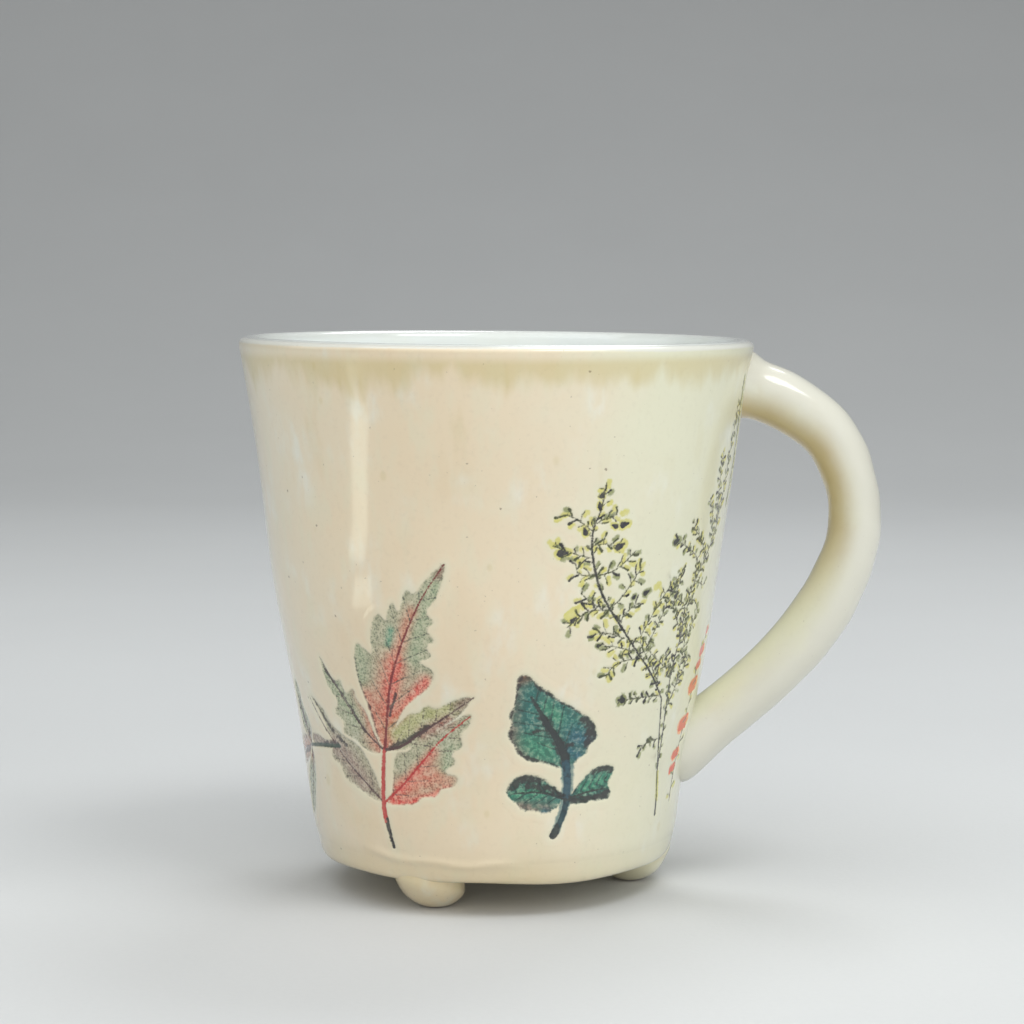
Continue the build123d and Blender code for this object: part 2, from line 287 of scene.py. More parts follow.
def cream_colour(tree, place):
    """The outside glaze: clouds, warm middle, cool handle side, and olive pools at rim and base."""
    look = glaze()
    x, y, z = split(tree, place)
    clouds = noise(tree, place, 13, 3)
    streaks = noise(tree, drawn_out(tree, place, 0.3), 6.5, 3, 40)
    runs = noise(tree, drawn_out(tree, place, 0.4), 3.4, 3, 55)
    fine = noise(tree, place, 0.9, 3, 90)
    front = (0 - y).ramp(-10, 34)
    warm = (x + clouds * 40).ramp(54, 10) * (x + clouds * 20).ramp(-34, -8) * front
    cool = (x + clouds * 16).ramp(16, 44)
    made = mix(tree, warm * (0.5 + clouds * 0.6), look.cream, look.peach)
    made = mix(tree, cool * 0.9, made, look.leaf_green)
    made = mix(tree, runs.ramp(0.45, 0.72) * 0.3, made, look.leaf_green)
    made = mix(tree, streaks.ramp(0.5, 0.75) * 0.18 * warm, made, tint(214, 184, 146))
    made = mix(tree, (1 - clouds).ramp(0.5, 0.75) * runs.ramp(0.4, 0.7) * 0.5, made, look.white)
    under_rim = (z + (streaks - 0.5) * 15).ramp(93, 97.5) * (1 - z.ramp(98.2, 100.2))
    drips = z.ramp(66, 97) * (1 - z.ramp(97.5, 99.5)) * streaks.ramp(0.56, 0.7)
    at_base = (1 - (z + clouds * 5).ramp(9, 16)) * (0.35 + clouds * 0.6)
    low_pools = (1 - z.ramp(14, 44)) * clouds.ramp(0.5, 0.75)
    pools = under_rim * 0.5 + drips * 0.2 + at_base * (1 - cool * 0.7) * 0.35 + low_pools * 0.15
    made = mix(tree, pools, made, look.olive)
    blots = dots(tree, drawn_out(tree, place, 0.7), 6.0, 1.0, 0.3)
    made = mix(tree, blots * 0.22, made, look.olive)
    made = mix(tree, fine.ramp(0.5, 0.8) * 0.05, made, look.brown)
    lip = (z + (fine - 0.5) * 0.25 + cool * 0.8).ramp(100.95, 101.35)
    made = mix(tree, lip * 0.9, made, tint(216, 216, 207))
    bent = ragged(tree, place)
    specks = dots(tree, bent, look.speck_size, 0.27, 0.2) + dots(tree, bent, 1.5, 0.15, 0.3) * 0.6
    return mix(tree, specks * 0.6, made, look.brown), specks


def cream_height(tree, place, specks):
    """Orange-peel and slow waves of a glaze that ran in the kiln, with pinholes at the specks."""
    return noise(tree, place, 7, 2, 11) * 0.12 + noise(tree, place, 1.6, 2, 23) * 0.006 - specks * 0.03


def glossy(tree, colour_wire, height, roughness):
    return {
        "Base Color": colour_wire,
        "Roughness": roughness,
        "Normal": relief(tree, height),
        "Coat Weight": 0.9,
        "Coat Roughness": 0.08,
        "Coat IOR": 1.5,
    }


def cream_glaze(tree):
    place = place_mm(tree)
    made, specks = cream_colour(tree, place)
    rough = noise(tree, place, 4, 2, 61) * 0.12 + glaze().roughness
    return glossy(tree, made, cream_height(tree, place, specks), rough)


def handle_glaze(tree):
    """Cream glaze that gathers ochre on the inside of the upper bend, darkened there as painted shade, and
    is painted paler on the bend's back as the sky's light on it.
    """
    place = place_mm(tree)
    z = split(tree, place)[2]
    made, specks = cream_colour(tree, place)
    clouds = noise(tree, place, 9, 3, 31)
    inner = painted(tree, "inside_bend")
    upper_bend = z.ramp(46, 74) * 0.85
    # Painted light: the bend's back is mixed toward a paler, cooler cream, standing for the sky's light
    # falling on it.
    made = mix(tree, (clouds * 1.4 - inner).ramp(-0.3, 1.0) * 0.85, made, tint(208, 206, 194))
    # Ochre of pooled glaze inside the upper bend, made deeper as painted shade in the bend.
    made = mix(tree, (inner + clouds * 0.6).ramp(0.1, 1.15) * upper_bend, made, tint(186, 162, 104))
    rough = noise(tree, place, 4, 2, 61) * 0.12 + glaze().roughness
    return glossy(tree, made, cream_height(tree, place, specks), rough)


def foot_glaze(tree):
    look = glaze()
    place = place_mm(tree)
    z = split(tree, place)[2]
    made, specks = cream_colour(tree, place)
    clouds = noise(tree, place, 3, 3, 47)
    made = mix(tree, z.ramp(3.2, 5.6) * 0.15 + clouds * 0.12, made, look.olive)
    worn = 1 - (z + clouds * 0.5).ramp(0.3, 0.9)
    made = mix(tree, worn, made, look.clay)
    return glossy(tree, made, cream_height(tree, place, specks), worn * 0.4 + look.roughness)


def white_glaze(tree):
    look = glaze()
    place = place_mm(tree)
    clouds = noise(tree, place, 16, 2, 71)
    fine = noise(tree, place, 1.4, 3, 83)
    made = mix(tree, clouds.ramp(0.4, 0.8) * 0.25 + fine * 0.08, look.white, look.leaf_green)
    # Painted shade: the liner turns greyer up to the lip's crest, to tone down the light from above that
    # falls most there.
    made = mix(tree, split(tree, place)[2].ramp(100.2, 101.4) * 0.7, made, tint(200, 202, 196))
    specks = dots(tree, place, 7.5, 0.28, 0.22)
    made = mix(tree, specks * 0.8, made, look.brown)
    height = noise(tree, place, 9, 2, 13) * 0.12 - specks * 0.03
    return glossy(tree, made, height, fine * 0.1 + 0.2)


def bare_clay(tree):
    look = glaze()
    place = place_mm(tree)
    grain = noise(tree, place, 0.5, 4, 17)
    made = mix(tree, grain, look.clay, look.brown)
    made = mix(tree, 0.75, made, look.clay)
    return {"Base Color": made, "Roughness": grain * 0.1 + 0.8, "Normal": relief(tree, grain * 0.06)}


# ---- Mesh tools ---------------------------------------------------------------------------
def alone(piece=None):
    """Deselects everything, then selects and activates the piece."""
    if bpy.context.object and bpy.context.object.mode != "OBJECT":
        bpy.ops.object.mode_set(mode="OBJECT")
    bpy.ops.object.select_all(action="DESELECT")
    if piece:
        piece.select_set(True)
        bpy.context.view_layer.objects.active = piece


def coordinates(piece):
    flat = np.empty(len(piece.data.vertices) * 3, np.float32)
    piece.data.vertices.foreach_get("co", flat)
    return flat.reshape(-1, 3).astype(float) / MM


def place_vertices(piece, points):
    piece.data.vertices.foreach_set("co", (points * MM).astype(np.float32).ravel())
    piece.data.update()


def store(piece, name, values):
    """Keeps a number, or a colour, on every vertex for the material to read."""
    values = np.asarray(values, float)
    kind, field = ("FLOAT_COLOR", "color") if values.ndim == 2 else ("FLOAT", "value")
    if values.ndim == 2:
        values = np.column_stack([values, np.ones(len(values))])
    attribute = piece.data.attributes.new(name, kind, "POINT")
    attribute.data.foreach_set(field, values.astype(np.float32).ravel())


def apply_modifier(piece, kind, **settings):
    alone(piece)
    modifier = piece.modifiers.new(kind.title(), kind)
    for name, value in settings.items():
        setattr(modifier, name, value)
    bpy.ops.object.modifier_apply(modifier=modifier.name)


def smooth_shade(piece, degrees=50):
    alone(piece)
    bpy.ops.object.shade_smooth_by_angle(angle=math.radians(degrees))


def finish_piece(piece, name, replaced, material):
    """Names the piece, gives it its material, hangs it under the root and hides the frame's parts it stands
    for.
    """
    alone()
    piece.name = piece.data.name = name
    piece.data.materials.clear()
    piece.data.materials.append(material)
    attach(piece, "root")
    if replaced:
        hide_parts(*replaced)


def turned(profile, sides, levels=2):
    """Solid of revolution: a ring extruded from place to place along (radius, height) points.

    A profile that starts and ends on the axis is closed there; any other is a closed loop."""
    alone()
    start_radius, start_z = profile[0]
    on_axis = start_radius == 0
    tiny = 0.02
    ring = [(max(radius, tiny), z) for radius, z in profile]
    bpy.ops.mesh.primitive_circle_add(
        vertices=sides, radius=ring[0][0] * MM, location=(0, 0, start_z * MM), enter_editmode=True
    )
    bpy.ops.mesh.select_all(action="SELECT")
    steps = ring[1:] if on_axis else ring[1:] + ring[:1]
    for (radius, z), (next_radius, next_z) in zip(ring, steps):
        bpy.ops.mesh.extrude_region_move(TRANSFORM_OT_translate={"value": (0, 0, (next_z - z) * MM)})
        grow = next_radius / radius
        bpy.ops.transform.resize(value=(grow, grow, 1), center_override=(0, 0, next_z * MM))
    bpy.ops.mesh.select_all(action="SELECT")
    bpy.ops.mesh.remove_doubles(threshold=2 * tiny * MM if on_axis else 0.002 * MM)
    bpy.ops.mesh.normals_make_consistent(inside=False)
    bpy.ops.object.mode_set(mode="OBJECT")
    piece = bpy.context.object
    bpy.ops.object.transform_apply(location=True, rotation=True, scale=True)
    if levels:
        apply_modifier(piece, "SUBSURF", levels=levels, render_levels=levels)
    return piece


def smoothstep(values, low, high):
    part = np.clip((values - low) / (high - low), 0, 1)
    return part * part * (3 - 2 * part)


def hand_built(points):
    """Moves the cup's points as a potter's hands left them: out of round, and with a tilted rim."""
    made = points.copy()
    around = np.arctan2(points[:, 1], points[:, 0])
    z = points[:, 2]
    out = 0.5 * np.cos(2 * around + 0.6) * smoothstep(z, 20, 95)
    out += 0.45 * np.sin(3 * around + z * 0.05) + 0.3 * np.sin(5 * around - z * 0.11 + 1.0)
    out += 0.5 * np.sin(z * 0.16 + np.cos(around) * 2) * smoothstep(z, 4, 14)
    radius = np.hypot(points[:, 0], points[:, 1])
    grow = 1 + shape().unevenness * out * smoothstep(radius, 12, 30) / np.maximum(radius, 1)
    made[:, 0] *= grow
    made[:, 1] *= grow
    across = radius * np.sin(around + math.radians(90))
    ridge_z = 9.9 + 0.006 * np.minimum(across + 6, 0) ** 2 + 0.25 * np.sin(across * 0.5)
    side = smoothstep(across, -24, -17) * (1 - smoothstep(across, 0, 8)) * smoothstep(-points[:, 1], 10, 20)
    ridge = 0.4 * side * np.exp(-(((z - ridge_z) / 0.8) ** 2)) * smoothstep(radius, 31, 33)
    made[:, :2] *= (1 + ridge / np.maximum(radius, 1))[:, None]
    made[:, 0] += 0.45 * smoothstep(z, 50, 100)
    tilt = shape().rim_tilt / (2 * LIP_RADIUS)
    made[:, 2] -= points[:, 0] * tilt * smoothstep(z, 35, 98)
    return made


# ---- Pressed plants: how a drawing is measured ----------------------------------------------
def from_line(points, spots):
    """Distance of each spot from a line, and the share of the line at the nearest place."""
    points = np.asarray(points, float)
    total = np.hypot(*np.diff(points, axis=0).T).sum()
    nearest, where, run = np.full(len(spots), 1e6), np.zeros(len(spots)), 0.0
    for start, end in zip(points, points[1:]):
        along = end - start
        span = max(math.hypot(*along), 1e-9)
        part = np.clip((spots - start) @ along / span**2, 0, 1)
        distance = np.hypot(*(spots - start - part[:, None] * along).T)
        nearer = distance < nearest
        nearest[nearer] = distance[nearer]
        where[nearer] = (run + part[nearer] * span) / total
        run += span
    return nearest, where


def rounded(points, closed=True, rounds=2):
    """Cuts the corners of a line so that it flows."""
    points = np.asarray(points, float)
    for _ in range(rounds):
        after = np.roll(points, -1, axis=0) if closed else points[1:]
        before = points if closed else points[:-1]
        cut = np.stack([0.75 * before + 0.25 * after, 0.25 * before + 0.75 * after], 1).reshape(-1, 2)
        points = cut if closed else np.vstack([points[:1], cut, points[-1:]])
    return points


def inside(outline, spots):
    """Distance inside a closed outline, negative outside it."""
    loop = rounded(outline)
    closed = np.vstack([loop, loop[:1]])
    distance, _ = from_line(closed, spots)
    within = np.zeros(len(spots), bool)
    x, z = spots.T
    for (x1, z1), (x2, z2) in zip(closed, closed[1:]):
        if z1 != z2:
            crosses = (z1 > z) != (z2 > z)
            within ^= crosses & (x < (x2 - x1) * (z - z1) / (z2 - z1) + x1)
    return np.where(within, distance, -distance)


def strokes(lines, spots, reach=3.5):
    """Distance inside the nearest of the lines, and the colour of its ink."""
    depth = np.full(len(spots), -9.0)
    ink = np.zeros((len(spots), 3))
    for line_ink, width, end_width, points in lines:
        flowing = rounded(points, closed=False, rounds=1) if len(points) > 2 else np.array(points, float)
        low, high = flowing.min(0) - reach, flowing.max(0) + reach
        near = np.flatnonzero(((spots > low) & (spots < high)).all(1))
        distance, where = from_line(flowing, spots[near])
        inside_line = (width + (end_width - width) * where) / 2 - distance
        nearer = inside_line > depth[near]
        depth[near[nearer]] = inside_line[nearer]
        ink[near[nearer]] = line_ink
    return depth, ink


class Plant:
    """A pressed plant, drawn flat as it is seen from straight in front of it.

    blades    closed outlines, filled with pigment
    veins     lines that show only within the blades
    lines     lines that show everywhere: stalks, twigs and the dark curls of leaflets
    glows     soft strokes of thin colour under the lines
    washes    (colour, reach, points): soft strokes of colour in the blades, later ones over earlier
    shadows   (reach, points): strokes where the colour turns to charcoal
    Each vein, line or glow is (ink, width at its start, width at its end, points).
    """

    def __init__(self, facing, ground, blades=(), washes=(), shadows=()):
        self.facing = math.radians(facing)
        self.ground = ground
        self.blades = list(blades)
        self.washes = list(washes)
        self.shadows = list(shadows)
        self.veins, self.lines, self.glows = [], [], []

    def corners(self, margin):
        spots = [spot for outline in self.blades for spot in outline]
        spots += [spot for _, _, _, points in self.lines + self.glows for spot in points]
        spots = np.asarray(spots, float)
        return spots.min(0) - margin, spots.max(0) + margin

    def edge(self, spots):
        """Distance inside the blades."""
        made = np.full(len(spots), -9.0)
        for outline in self.blades:
            made = np.maximum(made, inside(outline, spots))
        return made

    def reach(self, spots):
        """How near each spot is to the plant: positive in it, negative outside."""
        return np.maximum(self.edge(spots), strokes(self.lines + self.glows, spots)[0])

    def drawn(self, spots):
        """What is drawn at each spot: distances inside the parts, and their colours."""
        edge = self.edge(spots)
        line, ink = strokes(self.lines, spots)
        vein, vein_ink = strokes(self.veins, spots)
        vein = np.minimum(vein, edge - 0.2)
        ink[vein > line] = vein_ink[vein > line]
        glow, glow_ink = strokes(self.glows, spots)
        pigment = np.tile(np.asarray(self.ground, float), (len(spots), 1))
        for wash, size, points in self.washes:
            part = np.exp(-((from_line(points, spots)[0] / size) ** 2))[:, None]
            pigment = pigment * (1 - part) + np.asarray(wash) * part
        shadow = np.zeros(len(spots))
        for size, points in self.shadows:
            shadow = np.maximum(shadow, np.exp(-((from_line(points, spots)[0] / size) ** 2)))
        return {
            "edge": edge, "pigment": pigment, "line": np.maximum(line, vein), "ink": ink,
            "glow": glow, "glow_ink": glow_ink, "shadow": shadow,
        }

    def ribs(self, ink, midrib, count, reach, width=0.16):
        """Pairs of fine veins that leave a midrib forwards at a slant, shorter towards the tip."""
        midrib = np.asarray(midrib, float)
        spans = np.hypot(*np.diff(midrib, axis=0).T)
        marks = np.concatenate([[0], np.cumsum(spans)]) / spans.sum()
        for step in range(count):
            part = 0.1 + 0.8 * step / max(count - 1, 1)
            root = np.array([np.interp(part, marks, midrib[:, axis]) for axis in (0, 1)])
            ahead = np.array([np.interp(min(part + 0.08, 1), marks, midrib[:, axis]) for axis in (0, 1)])
            direction = math.atan2(*(ahead - root)[::-1])
            size = reach * math.sin(math.pi * (0.2 + 0.75 * part)) ** 0.8
            for side in (-1, 1):
                slant = direction + side * math.radians(42)
                tip = root + size * np.array([math.cos(slant), math.sin(slant)])
                self.veins.append((ink, width, width * 0.5, [tuple(root), tuple(tip)]))

    def tuft(self, twig, seed, inks, glow, spacing=0.9, size=1.2, width=0.3, spread=55):
        """Small curled leaflets set along a twig, each a dark curl beside a soft blade of colour."""
        chance = random.Random(seed)
        twig = np.asarray(twig, float)
        marks = np.concatenate([[0], np.cumsum(np.hypot(*np.diff(twig, axis=0).T))])
        run, side = 0.4 * spacing, 1
        while run < marks[-1]:
            root, ahead, back = (
                np.array([np.interp(mark, marks, twig[:, axis]) for axis in (0, 1)])
                for mark in (run, min(run + 0.3, marks[-1]), max(run - 0.4, 0))
            )
            aside = side * math.radians(chance.uniform(0.5, 1.4) * spread)
            slant = math.atan2(*(ahead - back)[::-1]) + aside
            reach = size * chance.uniform(0.5, 1.3)
            bow = chance.uniform(-0.7, 0.7)
            middle = root + 0.6 * reach * np.array([math.cos(slant), math.sin(slant)])
            tip = middle + 0.5 * reach * np.array([math.cos(slant + bow), math.sin(slant + bow)])
            fat = width * chance.uniform(0.5, 1.9)
            curl = [tuple(root), tuple(middle), tuple(tip)]
            self.lines.append((INK[chance.choice(inks)], fat * 0.6, fat, curl))
            if glow:
                wide = size * chance.uniform(0.4, 0.75)
                beside = 0.3 * size * chance.choice((-1, 1)) * np.array([-math.sin(slant), math.cos(slant)])
                blade = [tuple(middle + beside), tuple(tip + beside)]
                self.glows.append((INK[chance.choice(glow)], wide * 0.7, wide, blade))
            run += spacing * chance.uniform(0.6, 1.4)
            side = -side

    def bud(self, ink, across, height, size=1.0, turn=0.0, glow="lemon"):
        """Short fat stroke with a glow of colour round it, as a bud or a pair of seed leaves."""
        reach = 0.45 * size
        offset = (reach * math.cos(turn), reach * math.sin(turn))
        ends = [(across - offset[0], height - offset[1]), (across + offset[0], height + offset[1])]
        if ink == glow:
            self.glows.append((INK[glow], 1.2 * size, 1.0 * size, ends))
        else:
            self.lines.append((INK[ink], 1.05 * size, 0.4 * size, ends))
            self.glows.append((INK[glow], 1.7 * size, 1.3 * size, ends))


def on_wall(facing, spots):
    """Places on the wall's outside that are seen at these spots from straight in front."""
    radius = wall_fit(spots[:, 1])
    around = facing + np.arcsin(np.clip(spots[:, 0] / radius, -0.98, 0.98))
    return np.column_stack([radius * np.cos(around), radius * np.sin(around), spots[:, 1]])


def seen_from(facing, points):
    """The reverse: where each point of the wall is seen, and whether it is on the near side."""
    across = -points[:, 0] * math.sin(facing) + points[:, 1] * math.cos(facing)
    near = points[:, 0] * math.cos(facing) + points[:, 1] * math.sin(facing) > 0
    return np.column_stack([across, points[:, 2]]), near


def outwards(points, amount):
    """Moves points away from the cup's axis by an amount for each."""
    radius = np.hypot(points[:, 0], points[:, 1])
    made = points.copy()
    made[:, :2] *= (1 + amount / radius)[:, None]
    return made


# ---- Pressed plants: the drawings -----------------------------------------------------------
INK = {
    "maroon": tint(120, 20, 20),
    "red": tint(186, 44, 40),
    "black": tint(22, 22, 22),
    "violet": tint(30, 28, 42),
    "olive": tint(62, 68, 32),
    "moss": tint(120, 128, 66),
    "teal": tint(22, 58, 66),
    "lemon": tint(200, 194, 96),
    "orange": tint(214, 66, 0),
    "plum": tint(80, 50, 50),
    "green": tint(26, 60, 42),
}
SAGE, FRESH, CORAL, SCARLET = tint(162, 162, 132), tint(150, 164, 130), tint(206, 106, 80), tint(222, 36, 24)
TEAL, EMERALD, BLUE = tint(8, 108, 102), tint(52, 138, 108), tint(0, 90, 108)
YELLOW_GREEN, PUCE, DEEP = tint(172, 172, 108), tint(150, 120, 110), tint(58, 110, 98)
MADDER, UMBER, TAUPE = tint(150, 84, 68), tint(112, 76, 56), tint(116, 104, 92)


def red_leaf():
    stalk = [(-1.5, 17.0), (-2, 20.5), (-1.5, 26), (-1, 30)]
    top_rib = [(-1, 30), (0, 35), (1.5, 42), (4, 48), (6.5, 53), (9.5, 58.5), (13.5, 64)]
    upper_left = [(-1, 30), (-4.5, 32.5), (-8, 36.5), (-11, 40.5), (-14.5, 45.5)]
    lower_left = [(-2, 20.5), (-6.5, 24), (-10.5, 27), (-13, 29.5), (-17, 33.5), (-20, 37.5)]
    upper_right = [(-1, 30), (3, 31), (7, 34), (11, 36.5), (16.5, 40.5)]
    lower_right = [(-1.5, 20.5), (2.5, 24), (6.5, 28.5), (10.5, 33), (15.5, 37)]
    blades = [
        [(-1, 29.5), (-2.5, 33), (-3.5, 37.5), (-5.2, 42), (-5.6, 46.5), (-4.6, 49.8), (-2.6, 48.2),
         (-1.2, 47.4), (-1.6, 50.8), (-0.6, 53.8), (1, 55.2), (2.2, 53.4), (2.6, 55.6), (3.9, 57.6),
         (4.8, 54.8), (5.8, 58.6), (6.8, 59.6), (7.8, 58.4), (10.5, 61.8), (14, 64.8), (13.2, 61),
         (11.7, 57.5), (9.6, 55.6), (11.6, 53.6), (9.4, 52.4), (11.4, 50.4), (9.2, 49.4), (10.6, 47.4),
         (7.4, 46.6), (10.8, 45.2), (9.4, 42), (6, 39.6), (3.6, 37.4), (2, 34.5), (0, 30)],
        [(-1, 29.5), (-3.5, 29), (-6, 30), (-8, 31.5), (-10.8, 31.8), (-9.8, 34.4), (-12.9, 35.6),
         (-10.6, 37.6), (-12.6, 39.6), (-13.7, 41.4), (-15, 46.5), (-12.6, 43.2), (-11, 41.5),
         (-9.5, 42.5), (-9, 39.5), (-6.4, 41.2), (-6, 38.6), (-4.2, 37.2), (-3, 33.5)],
        [(-2, 20), (-5, 21), (-8.5, 22.6), (-11, 23.4), (-12.2, 26.2), (-14.8, 26.6), (-14, 30),
         (-15.4, 32.5), (-16.6, 35), (-20.5, 38.5), (-15.5, 36), (-13.5, 33), (-10, 31.5), (-6.5, 30.4),
         (-4.5, 27.5), (-2.5, 24)],
        [(-0.5, 30), (1.2, 34.2), (3, 35.6), (5.0, 37.4), (6.6, 37.4), (8.4, 39.2), (10, 38.2), (12.4, 39.8),
         (17, 41.2), (14, 37), (11, 35), (7, 32.2), (3, 30.2)],
        [(-1.5, 20), (0, 22), (0.5, 27), (1.5, 30), (4, 30), (5, 32), (8, 33.5), (12, 36), (16.2, 38.2),
         (15.4, 35.2), (13.6, 33.8), (14, 31.4), (11.6, 30.2), (12.8, 28.4), (9.8, 26.8), (13, 26.2),
         (11.8, 24), (9.4, 23.8), (8.8, 22), (5.8, 22), (5, 20.6), (2, 20.2)],
    ]
    along_rib = [(-0.6, 30), (0.4, 35), (1.9, 42), (3.6, 46.5)]
    washes = [
        (CORAL, 2.8, [(-1.5, 32), (0.5, 40), (2.5, 45)]),
        (CORAL, 1.5, [(3.5, 47), (5.5, 51), (7.5, 55)]),
        (SCARLET, 1.4, along_rib),
        (SCARLET, 1.25, [(1, 34.5), (5, 39.2), (8.6, 43)]),
        (CORAL, 2.4, [(-1.8, 33), (-4, 39.5)]),
        (FRESH, 2.0, [(-4.6, 43), (-4, 48.4)]),
        (EMERALD, 0.8, [(2.2, 49.6), (3.0, 52)]),
        (FRESH, 1.8, [(7, 47.4), (8.6, 53), (12, 60)]),
        (CORAL, 2.3, [(0, 21.6), (6, 25), (10, 26.4)]),
        (SCARLET, 1.1, [(-1, 20.8), (3, 24.4), (6, 27.6), (8.5, 30.5)]),
        (SCARLET, 0.9, [(0.5, 20.6), (4, 21), (8, 22.2), (10.6, 23.6)]),
        (SAGE, 2.0, [(2.2, 28), (8, 32.6), (13, 35.6)]),
        (FRESH, 1.5, [(12, 31), (10.6, 27.6)]),
        (YELLOW_GREEN, 2.0, [(2, 33.4), (7.5, 37), (12.5, 38.6)]),
        (MADDER, 1.2, [(7, 33.6), (12, 36.2)]),
        (UMBER, 1.3, [(14, 38.8), (17, 41)]),
        (PUCE, 2.6, [(-6, 23.4), (-10, 27.4), (-13, 29.5)]),
        (FRESH, 2.2, [(-7.5, 35), (-12.5, 42)]),
        (UMBER, 0.8, [(12.4, 62), (14, 64.6)]),
    ]
    shadows = [
        (0.5, [(-1.8, 30.5), (-3.4, 37.5), (-5.2, 42), (-5.6, 47)]),
        (0.7, [(0.5, 30.6), (4, 32.2), (8, 34.8)]),
        (0.4, [(-13.5, 43.5), (-9.4, 39), (-5, 33)]),
        (0.5, [(-18.6, 37), (-14, 32.4), (-10, 29.8)]),
        (0.4, [(0.9, 36.5), (2.6, 40.5)]),
    ]
    plant = Plant(-118, SAGE, blades, washes, shadows)
    plant.ribs(tint(86, 92, 78), top_rib, 8, 7)
    for rib in (upper_left, lower_left, upper_right, lower_right):
        plant.ribs(tint(96, 82, 72), rib, 6, 4.5)
    plant.lines += [
        (INK["black"], 0.6, 1.0, [(-0.3, 12.4), (-0.7, 14), (-1.5, 17.5)]),
        (INK["red"], 1.0, 0.7, stalk),
        (INK["maroon"], 0.6, 0.2, top_rib),
        (INK["plum"], 0.4, 0.16, upper_left),
        (INK["plum"], 0.42, 0.16, lower_left),
        (INK["plum"], 0.6, 0.2, upper_right),
        (INK["red"], 0.5, 0.2, lower_right),
    ]
    return plant


def dark_leaf():
    spine = [(-7, 40.5), (-4.2, 36), (-1.8, 32.8), (0.1, 29), (0.5, 26.5), (0.5, 21.5)]
    blades = [
        [(-10, 43.5), (-9, 45), (-7.4, 44.4), (-5.8, 42.6), (-3.6, 41.4), (-2, 39.8), (0, 39.1),
         (2.2, 37.4), (4.4, 36.4), (6.0, 33.8), (6.2, 32), (4.2, 31), (4.4, 29.6), (2.5, 28.6),
         (1, 27.0), (-2, 27.4), (-4.5, 28.6), (-6.5, 28.4), (-8.8, 30), (-9.6, 32), (-11, 33.6),
         (-10.2, 35.6), (-10.9, 37.4), (-10, 39), (-9.8, 41.5)],
        [(0.5, 22.5), (-2, 24.3), (-4.6, 26.3), (-7.5, 26.8), (-10.5, 24.7), (-10.3, 22.4), (-8.7, 21.2),
         (-7.4, 19.6), (-5, 19.6), (-3.2, 18.8), (-0.5, 20.4)],
        [(0.5, 22), (2, 23), (4, 25.6), (6.5, 27.4), (10, 27.2), (10.4, 25.6), (9, 24), (9.8, 22.4),
         (9, 20.4), (6, 20.9), (3, 20.2), (1, 20.6)],
    ]
    washes = [
        (TAUPE, 1.6, [(-10, 42), (-10.2, 35), (-8.6, 30.6), (-5, 29)]),
        (EMERALD, 2.2, [(-6.6, 32.5), (-5, 30.5), (-3, 30.5)]),
        (TEAL, 2.0, [(-7, 41), (-6.8, 36)]),
        (TEAL, 2.4, [(-2.6, 38), (1.5, 34.4)]),
        (BLUE, 1.6, [(1.5, 33), (4.4, 32)]),
        (BLUE, 1.0, [(-0.8, 31), (2.4, 29.4)]),
        (EMERALD, 1.4, [(-4, 38.5), (-2, 36.6)]),
        (EMERALD, 1.5, [(-8.6, 22.8), (-4.5, 23)]),
        (TAUPE, 1.0, [(-8, 20.8), (-3, 19.8)]),
        (EMERALD, 1.5, [(3.6, 23.2), (8.4, 24.8)]),
        (BLUE, 1.3, [(0.4, 25.5), (0.8, 22)]),
        (UMBER, 1.1, [(-9.6, 43.8), (-7.6, 44.4)]),
        (BLUE, 0.8, [(-3.4, 19.4), (-2.6, 18.9)]),
    ]
    shadows = [
        (0.8, [(-9.2, 44.4), (-10.2, 41), (-10.7, 36), (-10.2, 32.5), (-7.8, 29.4)]),
        (0.7, [(-8, 29.6), (-4.6, 28.4), (-1.5, 27.4)]),
        (0.6, [(-6.4, 42.8), (-2.4, 40.2), (2.2, 37.6)]),
        (1.6, [(3.4, 35.8), (5.0, 33.8), (4.6, 31.8)]),
        (1.2, [(-4.6, 36.6), (-2.8, 33.8), (-0.8, 31), (0.2, 28.4)]),
        (0.5, [(-3.4, 34.6), (-6, 34.2)]),
        (0.5, [(-1.2, 31.4), (1.4, 31.6)]),
        (1.2, [(-9.8, 24.2), (-7.4, 26), (-4.4, 25.6)]),
        (0.8, [(-6.6, 24.4), (-3, 23.8), (0, 22.2)]),
        (1.2, [(5.4, 26.4), (7.4, 26.9), (9.8, 26.4)]),
        (1.1, [(0.8, 21.2), (4, 21.2), (7, 21.3), (9.2, 21.8)]),
        (0.8, [(0.3, 19.8), (-1.3, 15.4)]),
    ]
    plant = Plant(-67, DEEP, blades, washes, shadows)
    left_rib, right_rib = [(0, 22), (-9.5, 23.5)], [(1, 22), (9, 24.5)]
    for rib, reach in ((spine[:4][::-1], 6.5), (left_rib, 3), (right_rib, 3)):
        plant.ribs(tint(40, 74, 68), rib, 5, reach, 0.3)
    plant.lines += [
        (tint(36, 44, 44), 0.5, 1.6, spine[:4]),
        (tint(34, 72, 86), 1.5, 1.4, [(0.2, 28.4), (0.7, 25), (0.6, 22)]),
        (tint(34, 42, 44), 1.3, 1.0, [(0.5, 22.4), (0.6, 20.6)]),
        (INK["teal"], 1.2, 1.0, [(0.6, 21), (0.2, 19), (-0.8, 16.6)]),
        (tint(38, 46, 44), 1.1, 1.5, [(-0.7, 17), (-1.6, 15.2)]),
        (tint(44, 50, 46), 0.5, 0.3, [(0.5, 21.5), (-4, 23.2), (-9, 23)]),
        (tint(44, 50, 46), 0.5, 0.3, [(0.5, 21.5), (5, 22.6), (8.6, 22.8)]),
    ]
    plant.glows.append((tint(64, 110, 112), 2.6, 1.4, [(0.3, 28.6), (0.8, 25), (0.6, 21), (-1.2, 16)]))
    return plant


